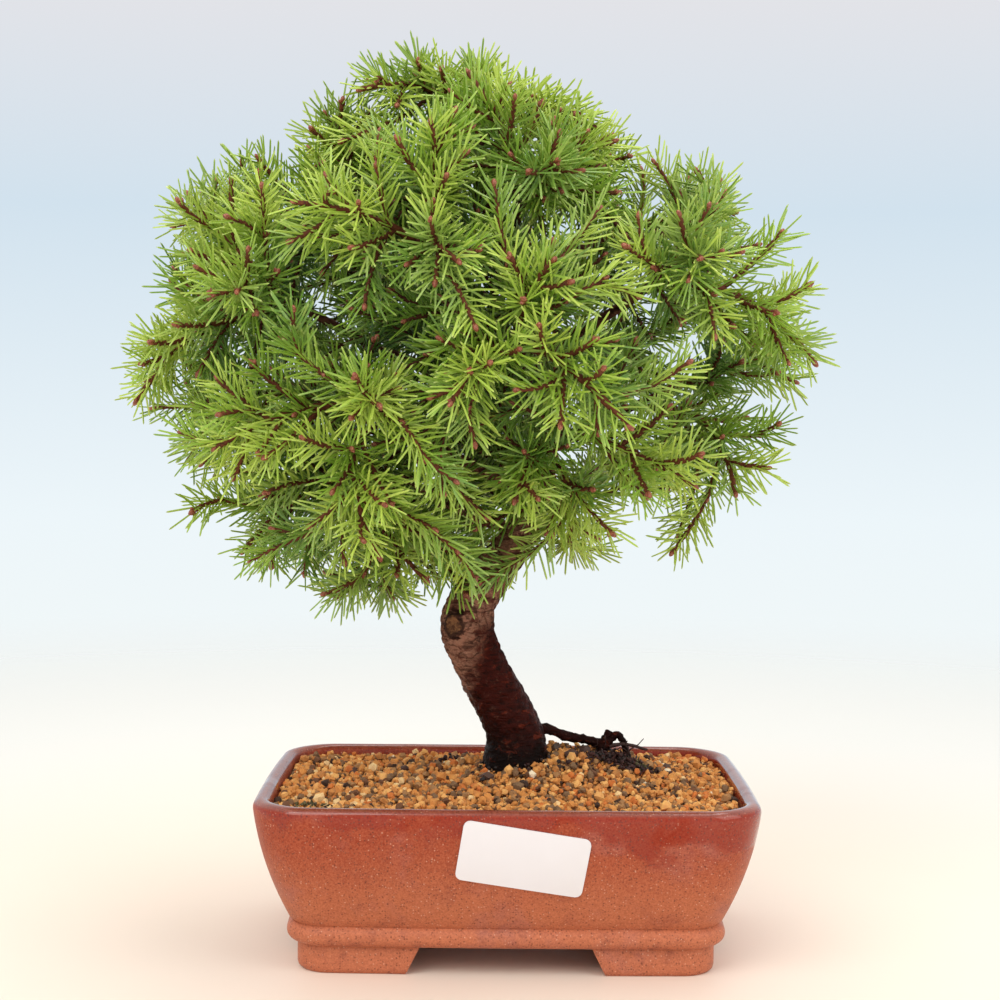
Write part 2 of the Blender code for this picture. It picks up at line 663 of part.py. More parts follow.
def needle_path(place, attempt, draw):
    """A needle from its root to its tip, on the next face round at each attempt."""
    root, along, across, turn = place
    azimuth = 2 * math.pi / TWIG_SIDES * (turn + attempt) + draw.uniform(-NEEDLE_STRAY, NEEDLE_STRAY)
    lean = NEEDLE_LEAN + draw.uniform(-NEEDLE_STRAY, NEEDLE_STRAY)
    outwards = Matrix.Rotation(azimuth, 3, along) @ across
    heading = along * math.cos(lean) + outwards * math.sin(lean)
    tip = root + heading * NEEDLE_LENGTH * draw.uniform(0.9, 1.1)
    return [(root, NEEDLE_RADIUS), (tip, NEEDLE_TIP)]


def needle_mesh():
    """A three-sided needle one unit long, from the origin up."""
    bm = bmesh.new()
    bmesh.ops.create_cone(bm, cap_ends=True, segments=3, radius1=NEEDLE_RADIUS, radius2=0, depth=1)
    bmesh.ops.remove_doubles(bm, verts=bm.verts, dist=0.001 * MM)
    bmesh.ops.translate(bm, vec=(0, 0, 0.5), verts=bm.verts)
    return mesh_of(bm, "needle")


def needle_solid(path, shape):
    """A needle along its path."""
    needle = loose("needle", shape)
    root, tip = path[0][0], path[1][0]
    turned = (tip - root).to_track_quat("Z", "Y").to_matrix().to_4x4()
    needle.matrix_world = Matrix.Translation(root) @ turned @ Matrix.Diagonal((1, 1, (tip - root).length, 1))
    return needle


def make_spray(index, plan, space, shape):
    """One spray, drawn again with other needles if the union of its parts leaves a flaw."""
    name = f"spray_{index:02d}"
    for attempt in range(REDRAWS):
        placed = len(space.owners)
        mesh = spray_mesh(name, plan, space, shape, random.Random(SPRAY_SEED * (2 + attempt) + index))
        if sound(mesh):
            break
        del space.owners[placed:]
        del space.bars[placed:]
    return finished(name, mesh, "needles", crease=30)


def spray_mesh(name, plan, space, shape, draw):
    """A spray's axis, the side shoots that stay clear of other nodes, and the needles on each, as one."""
    axis = tube(name, pointed(plan["axis"]), TWIG_SIDES, heading=plan["heading"])
    twigs = [(plan["axis"], AXIS_NEEDLES)]
    parts = []
    for shoot in plan["shoots"]:
        if len(parts) < SOLID_SHOOTS and space.free(name, pointed(shoot), SHOOT_APART):
            space.add(name, pointed(shoot))
            parts.append(tube("shoot", pointed(shoot), TWIG_SIDES))
            twigs.append((shoot, SIDE_NEEDLES))
    for twig, count in twigs:
        for place in needle_places(twig, count, draw):
            for attempt in range(2 * TWIG_SIDES):
                path = needle_path(place, attempt, draw)
                if space.free(name, path, NEEDLE_APART):
                    space.add(name, path)
                    parts.append(needle_solid(path, shape))
                    break
    return combined(axis, parts, "UNION")


def make_label():
    """A blank paper label that follows the front wall, a hair's breadth off it."""
    bm = bmesh.new()
    bmesh.ops.create_grid(bm, x_segments=6, y_segments=3, size=1)
    turn = Matrix.Rotation(LABEL_TILT, 2)
    for vert in bm.verts:
        u, v = vert.co.x, vert.co.y
        edge = max(abs(u), abs(v), MM)
        rounding = (abs(u) / edge) ** LABEL_CORNER + (abs(v) / edge) ** LABEL_CORNER
        drawn = max(rounding, 1) ** (-1 / LABEL_CORNER)
        flat = turn @ Vector((u * LABEL_HALF.x, v * LABEL_HALF.y)) * drawn + LABEL_AT
        inset = wall_inset(flat.y)
        wall = plan_point(flat.x / (POT_HALF_WIDTH - inset), -1, inset)
        vert.co = Vector((POT_CENTRE.x + flat.x, wall.y - 1.5 * CLEAR, flat.y))
    bmesh.ops.solidify(bm, geom=bm.faces[:], thickness=LABEL_THICKNESS)
    return finished("label", mesh_of(bm, "label"), "paper")


def main():
    for old in list(bpy.data.objects):
        bpy.data.objects.remove(old)
    make_pot()
    for side, centre in zip(("left", "right"), drain_centres()):
        make_screen(f"screen_{side}", centre)
    make_soil()
    make_label()
    paths, sprays = branch_plan()
    make_tree(paths, sprays)
    space = Space()
    for owned in [smooth_path(TRUNK, TRUNK_STEPS), *paths, *(spray["stub"] for spray in sprays)]:
        space.add("tree", owned)
    for index, spray in enumerate(sprays):
        space.add(f"spray_{index:02d}", pointed(spray["axis"]))
    shape = needle_mesh()
    for index, spray in enumerate(sprays):
        make_spray(index, spray, space, shape)


main()
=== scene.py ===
"""Looks of a potted spruce bonsai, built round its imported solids. Metres, +Z up, the front towards -Y."""

import math
import random

import bmesh
import bpy
import numpy as np
from mathutils import Matrix, Vector, noise


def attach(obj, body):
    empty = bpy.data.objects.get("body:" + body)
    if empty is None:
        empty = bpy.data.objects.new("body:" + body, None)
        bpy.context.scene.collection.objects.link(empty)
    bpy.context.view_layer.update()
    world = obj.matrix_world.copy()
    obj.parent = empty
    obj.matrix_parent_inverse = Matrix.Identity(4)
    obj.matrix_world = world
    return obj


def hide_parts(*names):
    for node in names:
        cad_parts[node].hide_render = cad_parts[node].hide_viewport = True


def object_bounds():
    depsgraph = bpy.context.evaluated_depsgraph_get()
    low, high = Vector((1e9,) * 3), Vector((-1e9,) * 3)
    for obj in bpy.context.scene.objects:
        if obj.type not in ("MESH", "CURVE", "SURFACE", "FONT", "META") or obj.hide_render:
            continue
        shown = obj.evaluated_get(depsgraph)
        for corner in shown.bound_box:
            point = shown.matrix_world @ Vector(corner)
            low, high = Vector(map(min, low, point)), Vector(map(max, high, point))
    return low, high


bl_info = {
    "name": "Potted spruce bonsai",
    "version": (1, 0, 0),
    "blender": (4, 5, 0),
    "location": "3D View > Sidebar > Bonsai",
    "description": "Builds the looks of a small potted spruce round its packed solids",
    "category": "Add Mesh",
}

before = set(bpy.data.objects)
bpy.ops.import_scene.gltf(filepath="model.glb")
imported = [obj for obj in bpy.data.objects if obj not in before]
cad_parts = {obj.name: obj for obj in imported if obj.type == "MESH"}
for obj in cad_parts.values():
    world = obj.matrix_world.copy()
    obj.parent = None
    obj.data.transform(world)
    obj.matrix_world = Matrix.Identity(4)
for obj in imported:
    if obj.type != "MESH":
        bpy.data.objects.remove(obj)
CAD_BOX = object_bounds()

MM = 0.001
UP = Vector((0, 0, 1))
GOLDEN_ANGLE = math.radians(137.5)
CLEAR = 0.3 * MM  # gap between the solids

# Pot, as the solids have it
POT_CENTRE = Vector((11.7, 0.2, 0)) * MM
POT_HALF_WIDTH = 91 * MM
POT_HALF_DEPTH = 65 * MM
POT_HEIGHT = 62 * MM
CORNER_RADIUS = 20 * MM
CORNER_SHRINK = 0.6
SIDE_BOW = 1.5 * MM
WALL = 6 * MM
WALL_FOOT = 17.3 * MM
WALL_LEAN = 13 * MM
WALL_BULGE = 2 * MM
BELT_RADIUS = 4 * MM
BELT_INSET = 15.5 * MM
BELT_HEIGHT = 14 * MM
UNDERSIDE = 10 * MM
POT_FLOOR = 16 * MM
LIP_EDGE = 58.5 * MM
FOOT_INSET = 15.2 * MM
FOOT_THICKNESS = 10 * MM
FOOT_GAP_TOP = 30.5 * MM
FOOT_GAP_BOTTOM = 35.5 * MM
SIDE_GAP_TOP = 17 * MM
SIDE_GAP_BOTTOM = 22 * MM
DRAIN_RADIUS = 8 * MM
DRAIN_SPACING = 38 * MM

# Soil
SOIL_GAP = 0.6 * MM
SOIL_LEVEL = 57.6 * MM
SOIL_HEAP = 11 * MM
HEAP_AT = Vector((20, 13)) * MM
HEAP_SPREAD = Vector((38, 30)) * MM

# Label
LABEL_HALF = Vector((22.3, 11)) * MM
LABEL_AT = Vector((5.6, 45)) * MM
LABEL_TILT = math.radians(-9)
LABEL_THICKNESS = 0.4 * MM
LABEL_CORNER = 2.4 * MM

# Trunk: x, y, height and radius in mm along its centre line
TRUNK = (
    (4.0, 8.0, 34.0, 9.0),
    (3.5, 8.0, 56.0, 13.2),
    (3.4, 8.0, 66.0, 12.6),
    (2.4, 7.5, 77.0, 11.0),
    (-3.5, 6.0, 90.0, 10.2),
    (-9.5, 5.0, 102.0, 9.8),
    (-14.0, 4.0, 112.0, 10.0),
    (-15.3, 3.0, 119.0, 10.6),
    (-13.0, 2.0, 128.0, 9.0),
    (-6.5, 1.0, 138.5, 8.0),
    (1.0, 0.0, 149.5, 7.3),
    (7.5, 0.0, 163.0, 6.8),
    (11.5, 1.0, 182.0, 6.2),
    (11.0, 3.0, 206.0, 5.5),
    (5.5, 4.0, 232.0, 4.8),
    (-2.5, 3.0, 258.0, 4.0),
    (-9.5, 1.0, 281.0, 3.2),
    (-13.5, 0.0, 299.0, 2.2),
)
ROOTS = (
    ((4, 9, 74, 3.6), (15, 11, 77.6, 2.1), (23, 13, 74.6, 1.8),
     (31, 14, 73, 1.7), (38, 13, 70, 1.8), (43, 12, 57, 1.6)),
    ((32, 10, 55, 2.6), (34.5, 11, 64, 2.3), (37, 12.5, 71.5, 1.9), (39.5, 13, 77, 1.3)),
    ((37, 12.5, 70, 1.8), (42.5, 13, 75.4, 1.4), (46.5, 12.5, 68, 1.3), (47.5, 12, 57, 1.1)),
)

# Crown and sprays, as the solids have them
CROWN_CENTRE = POT_CENTRE + Vector((-12.5, 0, 229)) * MM
CROWN_OUTLINE = (135, 139, 114, 101, 95, 95, 106, 110, 107, 102, 127, 132,
                 136, 139, 129, 129, 121, 105, 103, 84, 102, 115, 126, 133)
OUTLINE_STEP = 15
CROWN_DEPTH = 100 * MM
BRANCHES = 15
LOWEST, HIGHEST = -0.9, 0.86
FIRST_AZIMUTH = math.radians(180)
FORK_AT = 0.52
FORK_SPRAYS = 3
FORK_SPREAD = math.radians(21)
FORK_TURN = 1.6
BRANCH_RISE = 0.4
BRANCH_SAG = 0.1
BRANCH_FROM, BRANCH_TO = 152 * MM, 290 * MM
BRANCH_BASE, BRANCH_END = 2.7 * MM, 1.6 * MM
STUB_LENGTH = 11 * MM
STUB_PULL = 1.2
LEADER_SPRAYS = 4
LEADER_SPREAD = math.radians(32)
LEADER_TURN = 0.4
SPRAY_STRAIGHT = 0.45
SHOOTS = 7
SHOOTS_FROM, SHOOTS_OVER = 0.16, 0.68
SHOOT_ANGLE = math.radians(48)
SHOOT_SHORTEST = 0.30
SHOOT_GAIN = 0.30
SHOOT_RISE, SHOOT_SAG = 0.12, 0.04
SHOOT_TURN_STRAY = 0.35
TWIG_PAST = 8 * MM
SPRAY_SEED = 300

# Finer foliage
TWIG_BASE, TWIG_TIP = 1.5 * MM, 1.0 * MM
SHOOT_RADIUS = 1.05 * MM
FILL_RADIUS = 0.9 * MM
RING_STEP = 2.0 * MM
TWIG_SIDES = 5
GRAIN_SEED, LITTER_SEED, FINE_SEED = 41, 77, 900
FILL_LAYERS = ((0.52, 80), (0.76, 240), (1.0, 640))  # share of the crown's reach, and tips tried there
FILL_RAGGED = 0.19  # share of that reach by which a tip may fall short
FILL_APART = 12.5 * MM  # least distance between two tips
THIN_SIDE, THINNED = 0.2, 0.62  # direction.x past which the crown is airier, and share of tips left out
FILL_PAST, LOW_PAST = 10 * MM, 3 * MM  # how far inside the outline an added tip stays, and on the underside
UNDERSIDE_RISE = -0.4  # direction.z under which that is
FILL_LEAST, FILL_MOST = 9 * MM, 44 * MM  # length of an added shoot
FILL_EVENLY = 0.04  # how much a spray's shoots so far hold it back from more
NEEDLED = 16 * MM  # stretch behind a twig's tip that is full of needles


class Value:
    """A node's output. Arithmetic on it adds Math nodes."""

    def __init__(self, nodes, socket):
        self.nodes = nodes
        self.socket = socket

    def _math(self, operation, a, b=0.0, clamp=False):
        return self.nodes.node("Math", {"operation": operation, "use_clamp": clamp}, {0: a, 1: b})

    def __add__(self, other):
        return self._math("ADD", self, other)

    __radd__ = __add__

    def __sub__(self, other):
        return self._math("SUBTRACT", self, other)

    def __rsub__(self, other):
        return self._math("SUBTRACT", other, self)

    def __mul__(self, other):
        return self._math("MULTIPLY", self, other)

    __rmul__ = __mul__

    def clamped(self):
        return self._math("ADD", self, clamp=True)


class Nodes:
    """A node tree, filled node by node."""

    def __init__(self, tree):
        self.tree = tree

    def plug(self, socket, value):
        """Links a socket to a Value, or sets it to a number, a vector or a colour."""
        if isinstance(value, Value):
            self.tree.links.new(value.socket, socket)
        elif socket.type == "RGBA":
            socket.default_value = (*value[:3], 1)
        else:
            socket.default_value = value

    def node(self, kind, settings=None, inputs=None, output=0):
        """Adds a node, sets its settings, then its inputs, and gives one of its outputs."""
        made = self.tree.nodes.new("ShaderNode" + kind)
        for key, value in (settings or {}).items():
            if key == "stops":
                ramp = made.color_ramp
                while len(ramp.elements) < len(value):
                    ramp.elements.new(1)
                for element, (position, colour) in zip(ramp.elements, value):
                    element.position = position
                    element.color = (*colour, 1)
            elif key == "interpolation" and kind == "ValToRGB":
                made.color_ramp.interpolation = value
            else:
                setattr(made, key, value)
        for key, value in (inputs or {}).items():
            self.plug(made.inputs[key], value)
        return Value(self, made.outputs[output])

    def axis(self, vector, letter):
        return self.node("SeparateXYZ", None, {0: vector}, letter)

    def ramp(self, value, stops, interpolation="LINEAR"):
        settings = {"interpolation": interpolation, "stops": stops}
        return self.node("ValToRGB", settings, {0: value})


class Finish(Nodes):
    """A procedural material, made round its Principled shader."""

    def __init__(self, name):
        self.material = bpy.data.materials.new(name)
        self.material.use_nodes = True
        super().__init__(self.material.node_tree)
        self.shader = self.tree.nodes["Principled BSDF"]
        self.place = self.node("TexCoord", output="Object")

    def feed(self, **values):
        """Feeds or sets the shader's inputs, named with underscores for spaces."""
        for key, value in values.items():
            self.plug(self.shader.inputs[key.replace("_", " ").title().replace("Ior", "IOR")], value)

    def stretched(self, scale):
        return self.node("Mapping", None, {"Vector": self.place, "Scale": scale})

    def noise(self, scale, detail=3, roughness=0.55, distortion=0.0, vector=None):
        values = {"Vector": vector or self.place, "Scale": scale, "Detail": detail,
                  "Roughness": roughness, "Distortion": distortion}
        return self.node("TexNoise", None, values)

    def cells(self, scale, output="Distance", feature="F1"):
        values = {"Vector": self.place, "Scale": scale}
        return self.node("TexVoronoi", {"feature": feature}, values, output)

    def step(self, value, low, high):
        """0 up to low, 1 past high and smooth between; where low is the higher, it falls instead."""
        settings = {"interpolation_type": "SMOOTHSTEP"}
        return self.node("MapRange", settings, {"Value": value, "From Min": low, "From Max": high})

    def mix(self, share, a, b, blend="MIX"):
        settings = {"data_type": "RGBA", "blend_type": blend}
        return self.node("Mix", settings, {0: share, 6: a, 7: b}, 2)

    def bump(self, height, depth, strength):
        values = {"Height": height, "Distance": depth, "Strength": strength}
        self.feed(normal=self.node("Bump", None, values))

    def kept(self, name):
        """An attribute that the mesh carries."""
        return self.node("Attribute", {"attribute_name": name}, None, "Fac")


def rgb(*levels):
    """A colour given in sRGB from 0 to 255, made linear."""
    shares = [level / 255 for level in levels]
    return tuple(s / 12.92 if s <= 0.04045 else ((s + 0.055) / 1.055) ** 2.4 for s in shares)


def colour_property(name, description, default):
    return bpy.props.FloatVectorProperty(name=name, description=description, default=default,
                                         subtype="COLOR", size=3, min=0, max=1)


def length_property(name, description, default):
    return bpy.props.FloatProperty(name=name, description=description, default=default, min=0,
                                   unit="LENGTH", precision=5)


class PotSettings(bpy.types.PropertyGroup):
    corner_steps: bpy.props.IntProperty(
        name="Corner steps", description="Faces on each half of a corner", default=8, min=2)
    foot_bevel: length_property("Foot bevel", "Radius of the feet's edges", 1.1 * MM)
    clay: colour_property("Clay", "Satin glaze on the walls", rgb(180, 103, 70))
    deep: colour_property("Deep glaze", "Glossy glaze under the rim", rgb(136, 32, 8))
    violet: colour_property("Violet", "Mottling on lip and feet", rgb(112, 56, 52))
    pale: colour_property("Pale clay", "Belt and feet", rgb(184, 108, 76))


class SoilSettings(bpy.types.PropertyGroup):
    grains: bpy.props.IntProperty(name="Grains", description="Number of loose grains", default=7400, min=0)
    grain_size: length_property("Grain size", "Mean width of a grain", 2.15 * MM)
    ochre: colour_property("Ochre", "Most of the grains", rgb(202, 146, 82))
    grey: colour_property("Grey", "Small stones", rgb(120, 100, 78))


class TreeSettings(bpy.types.PropertyGroup):
    sides: bpy.props.IntProperty(name="Sides", description="Faces round the trunk", default=72, min=8)
    flake_depth: length_property("Flake depth", "Height of the bark's flakes", 0.5 * MM)
    dark: colour_property("Dark bark", "Bark near the soil", rgb(15, 7, 5))
    red: colour_property("Red bark", "Bark in the middle of the trunk", rgb(56, 16, 9))
    tan: colour_property("Tan bark", "Bark above the bend", rgb(158, 112, 90))


class FoliageSettings(bpy.types.PropertyGroup):
    needle_length: length_property("Needle length", "Length of a full needle", 13.5 * MM)
    needle_width: length_property("Needle width", "Width of a needle", 0.82 * MM)
    needle_step: length_property("Needle step", "Twig length for each needle", 0.46 * MM)
    # From the crown's inside to its outermost shoots the needles go from shade to fresh to light green:
    # partly their age, partly painted shade and painted light.
    shade: colour_property("Shade green", "Old needles inside the crown", rgb(56, 82, 22))
    fresh: colour_property("Fresh green", "Most of the needles", rgb(131, 168, 48))
    light: colour_property("Light green", "Needles on the outermost shoots", rgb(177, 199, 80))
    blue: colour_property("Blue green", "Patches of bluer needles", rgb(70, 118, 58))
    bud: colour_property("Bud", "Winter buds", rgb(142, 68, 42))
    twig: colour_property("Twig", "Bark of the twigs", rgb(102, 52, 30))


class LabelSettings(bpy.types.PropertyGroup):
    paper: colour_property("Paper", "Face of the label", rgb(226, 225, 228))


class StageSettings(bpy.types.PropertyGroup):
    floor: colour_property("Floor", "Floor under the pot", rgb(240, 229, 213))
    far_floor: colour_property("Far floor", "Floor away from the pot", rgb(227, 231, 224))
    high: colour_property("High background", "Background above the horizon", rgb(210, 226, 238))
    low: colour_property("Low background", "Background below the horizon", rgb(248, 250, 245))
    camera_distance: length_property("Camera distance", "From the pot's middle", 686.7 * MM)
    camera_height: length_property("Camera height", "Above the floor", 199.6 * MM)
    focal_length: bpy.props.FloatProperty(
        name="Focal length", description="For a 36 mm wide image", default=65.74, min=1, unit="CAMERA")


# Meshes


def blank():
    """An empty bmesh whose vertices can keep their place round a ring and how far along they are."""
    bm = bmesh.new()
    bm.verts.layers.int.new("place")
    bm.verts.layers.float.new("along")
    return bm


def loft(bm, rings, marks=None):
    """Skins rings of points, each ring extruded from the last, and closes both ends."""
    place, along = bm.verts.layers.int["place"], bm.verts.layers.float["along"]
    marks = marks or [0.0] * len(rings)
    verts = bmesh.ops.create_circle(bm, segments=len(rings[0]), radius=1)["verts"]
    for i, vert in enumerate(verts):
        vert[place], vert[along], vert.co = i, marks[0], rings[0][i]
    first = edges = list(dict.fromkeys(edge for vert in verts for edge in vert.link_edges))
    for ring, mark in zip(rings[1:], marks[1:]):
        made = bmesh.ops.extrude_edge_only(bm, edges=edges)["geom"]
        edges = [item for item in made if isinstance(item, bmesh.types.BMEdge)]
        for vert in made:
            if isinstance(vert, bmesh.types.BMVert):
                vert.co, vert[along] = ring[vert[place]], mark
    bmesh.ops.contextual_create(bm, geom=first)
    bmesh.ops.contextual_create(bm, geom=edges)


def mesh_of(bm, name, smooth=True):
    """A mesh from bm, with its faces pointing out."""
    bmesh.ops.recalc_face_normals(bm, faces=bm.faces)
    for face in bm.faces:
        face.smooth = smooth
    mesh = bpy.data.meshes.new(name)
    bm.to_mesh(mesh)
    bm.free()
    return mesh


def piece(name, mesh, slot, *finishes, replaces=()):
    """A finished piece of the model, which rides on the one body."""
    obj = bpy.data.objects.new(name, mesh)
    bpy.context.scene.collection.objects.link(obj)
    for finish in finishes:
        mesh.materials.append(finish)
    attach(obj, "root")
    if replaces:
        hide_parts(*replaces)
    return obj


class Shape:
    """A small mesh's arrays, read once so that it can be copied many times."""

    def __init__(self, bm, slot=0, smooth=True):
        mesh = mesh_of(bm, "shape", smooth)
        self.points = np.ones((len(mesh.vertices), 4))
        flat = np.empty(len(mesh.vertices) * 3)
        mesh.vertices.foreach_get("co", flat)
        self.points[:, :3] = flat.reshape(-1, 3)
        self.corners = np.empty(len(mesh.loops), np.int32)
        mesh.loops.foreach_get("vertex_index", self.corners)
        self.starts = np.empty(len(mesh.polygons), np.int32)
        mesh.polygons.foreach_get("loop_start", self.starts)
        self.along = np.zeros(len(mesh.vertices))
        if "along" in mesh.attributes:
            mesh.attributes["along"].data.foreach_get("value", self.along)
        self.slot = slot
        self.smooth = smooth
        bpy.data.meshes.remove(mesh)


class Copies:
    """Copies of small shapes gathered into one mesh, each with a place and a tint."""

    def __init__(self):
        self.points, self.corners, self.starts = [], [], []
        self.along, self.tint, self.slots, self.smooth = [], [], [], []
        self.point_count = self.corner_count = 0

    def add(self, shape, places, tints):
        """Adds a copy of shape at each of the places, which are 4x4 matrices."""
        places = np.array(places, float).reshape(-1, 4, 4)
        number, size = len(places), len(shape.points)
        moved = np.einsum("nij,vj->nvi", places, shape.points)[:, :, :3]
        self.points.append(moved.reshape(-1, 3))
        steps = np.arange(number)[:, None]
        self.corners.append((shape.corners + size * steps + self.point_count).ravel())
        self.starts.append((shape.starts + len(shape.corners) * steps + self.corner_count).ravel())
        self.along.append(np.tile(shape.along, number))
        self.tint.append(np.repeat(np.array(tints, float), size))
        self.slots.append(np.full(number * len(shape.starts), shape.slot, np.int32))
        self.smooth.append(np.full(number * len(shape.starts), shape.smooth))
        self.point_count += number * size
        self.corner_count += number * len(shape.corners)

    def mesh(self, name):
        mesh = bpy.data.meshes.new(name)
        mesh.vertices.add(self.point_count)
        mesh.loops.add(self.corner_count)
        mesh.polygons.add(sum(len(part) for part in self.starts))
        mesh.vertices.foreach_set("co", np.concatenate(self.points).ravel())
        mesh.loops.foreach_set("vertex_index", np.concatenate(self.corners))
        mesh.polygons.foreach_set("loop_start", np.concatenate(self.starts))
        mesh.polygons.foreach_set("material_index", np.concatenate(self.slots))
        mesh.polygons.foreach_set("use_smooth", np.concatenate(self.smooth))
        for key, parts in (("along", self.along), ("tint", self.tint)):
            mesh.attributes.new(key, "FLOAT", "POINT").data.foreach_set("value", np.concatenate(parts))
        mesh.update(calc_edges=True)
        return mesh


def on_sphere(index, number, turn):
    """One of a number of points at even levels on a sphere of radius 1, turned round its axis."""
    height = 1 - 2 * (index + 0.5) / number
    level = math.sqrt(1 - height * height)
    return Vector((level * math.cos(turn), level * math.sin(turn), height))


def rounded(u, v, half, radius):
    """Where a point of a square from -1 to 1 lies in a rectangle with rounded corners."""
    edge = max(abs(u), abs(v))
    if not edge:
        return Vector((0, 0))
    reach = Vector((abs(u) / edge * half.x, abs(v) / edge * half.y))
    core = Vector((half.x - radius, half.y - radius))
    past = reach - core
    if min(past) > 0:
        reach = core + past.normalized() * radius
    return Vector((math.copysign(reach.x * edge, u), math.copysign(reach.y * edge, v)))


def plan_point(u, v, inset):
    """Where a point of a square from -1 to 1 lies in the pot's outline drawn in by inset."""
    half = Vector((POT_HALF_WIDTH - inset, POT_HALF_DEPTH - inset))
    flat = rounded(u, v, half, CORNER_RADIUS - CORNER_SHRINK * inset)
    edge = max(abs(u), abs(v)) or 1
    x = flat.x * (1 - SIDE_BOW / half.x * (flat.y / edge / half.y) ** 2)
    y = flat.y * (1 - SIDE_BOW / half.y * (flat.x / edge / half.x) ** 2)
    return POT_CENTRE + Vector((x, y, 0))


def pot_ring(inset, height, corner_steps, side_steps=12):
    """One level line of the pot, evenly stepped on its corners and on its sides."""
    corner = CORNER_RADIUS - CORNER_SHRINK * inset
    sides = []
    for half in (POT_HALF_WIDTH, POT_HALF_DEPTH):
        start = 1 - corner / (half - inset)
        turns = [math.pi / 4 * i / corner_steps for i in range(corner_steps + 1)]
        on_corner = [start + (1 - start) * math.tan(turn) for turn in turns]
        straight = [start * (2 * i / side_steps - 1) for i in range(1, side_steps)]
        sides.append([-s for s in reversed(on_corner)] + straight + on_corner[:-1])
    wide, deep = sides
    square = [(s, -1) for s in wide] + [(1, s) for s in deep]
    square += [(-s, 1) for s in wide] + [(-1, -s) for s in deep]
    return [plan_point(u, v, inset) + UP * height for u, v in square]


def wall_inset(height):
    """How far the outer wall has drawn in from the rim at that height."""
    share = (LIP_EDGE - height) / (LIP_EDGE - WALL_FOOT)
    return WALL_LEAN * share - WALL_BULGE * 4 * share * (1 - share)


def soil_height(x, y):
    """Height of the soil's surface at a point given from the pot's centre."""
    across = (x - HEAP_AT.x) / HEAP_SPREAD.x
    deep = (y - HEAP_AT.y) / HEAP_SPREAD.y
    return SOIL_LEVEL + SOIL_HEAP * math.exp(-across * across - deep * deep)


def smooth_path(knots, steps):
    """Points and radii in metres on a smooth curve through knots of x, y, height and radius in mm."""
    rows = np.array(knots, float)
    rows = np.vstack([2 * rows[0] - rows[1], rows, 2 * rows[-1] - rows[-2]])
    path = []
    for share in np.linspace(0, len(knots) - 1, steps):
        i = min(int(share), len(knots) - 2)
        t = share - i
        before, a, b, after = rows[i:i + 4]
        bent = (2 * a + (b - before) * t + (2 * before - 5 * a + 4 * b - after) * t**2
                + (3 * a - before - 3 * b + after) * t**3) / 2
        path.append((POT_CENTRE + Vector(bent[:3]) * MM, bent[3] * MM))
    return path


def frames(path):
    """Each point of path, the direction there, and one across it that twists as little as it can."""
    points = [point for point, _ in path]
    across = (points[1] - points[0]).orthogonal().normalized()
    found = []
    for i, point in enumerate(points):
        along = (points[min(i + 1, len(points) - 1)] - points[max(i - 1, 0)]).normalized()
        across = (across - along * across.dot(along)).normalized()
        found.append((point, along, across))
    return found


def bow(start, control, end, base, tip, steps):
    """Points and radii on the curve from start to end that sets out towards control."""
    path = []
    for i in range(steps + 1):
        t = i / steps
        point = start * (1 - t) ** 2 + control * 2 * t * (1 - t) + end * t**2
        path.append((point, base + (tip - base) * t))
    return path


# Plan of the crown, drawn as the solids' plan is


def crown_reach(direction):
    """How far the crown reaches from its centre along a unit direction."""
    turn = math.degrees(math.atan2(direction.z, direction.x)) / OUTLINE_STEP
    before = math.floor(turn)
    here, after = (CROWN_OUTLINE[(before + i) % len(CROWN_OUTLINE)] * MM for i in (0, 1))
    front = here + (after - here) * (turn - before)
    in_plane = math.hypot(direction.x, direction.z)
    return 1 / math.hypot(in_plane / front, direction.y / CROWN_DEPTH)


def trunk_at(height):
    """The trunk's centre at a height."""
    rows = np.array(TRUNK) * MM
    return POT_CENTRE + Vector((np.interp(height, rows[:, 2], rows[:, 0]),
                                np.interp(height, rows[:, 2], rows[:, 1]), height))


def fork_directions(direction, count, spread, turn):
    """Directions round one, tilted from it by spread."""
    side = direction.orthogonal().normalized()
    tilted = Matrix.Rotation(spread, 3, side) @ direction
    return [Matrix.Rotation(turn + 2 * math.pi * i / count, 3, direction) @ tilted for i in range(count)]


def within_crown(point):
    """The point, drawn in to where a twig may end."""
    outwards = point - CROWN_CENTRE
    limit = crown_reach(outwards.normalized()) - TWIG_PAST
    return CROWN_CENTRE + outwards.normalized() * limit if outwards.length > limit else point


def side_shoots(axis, draw):
    """Root, control point and tip of each side shoot along a spray's axis."""
    points = [point for point, _ in axis]
    length = (points[-1] - points[0]).length
    turn = draw.uniform(0, 2 * math.pi)
    found = []
    for i in range(SHOOTS):
        share = SHOOTS_FROM + SHOOTS_OVER * (i + 0.5 * draw.random()) / SHOOTS
        at = share * (len(points) - 1)
        low = min(int(at), len(points) - 2)
        root = points[low].lerp(points[low + 1], at - low)
        along = (points[low + 1] - points[low]).normalized()
        turn += GOLDEN_ANGLE + draw.uniform(-SHOOT_TURN_STRAY, SHOOT_TURN_STRAY)
        side = Matrix.Rotation(turn, 3, along) @ along.orthogonal().normalized()
        heading = along * math.cos(SHOOT_ANGLE) + side * math.sin(SHOOT_ANGLE)
        reach = length * (SHOOT_SHORTEST + SHOOT_GAIN * (1 - share)) * draw.uniform(0.8, 1.15)
        tip = within_crown(root + (heading + UP * SHOOT_RISE).normalized() * reach)
        control = root + heading * reach * 0.5 - UP * reach * SHOOT_SAG
        found.append((root, control, tip))
    return found


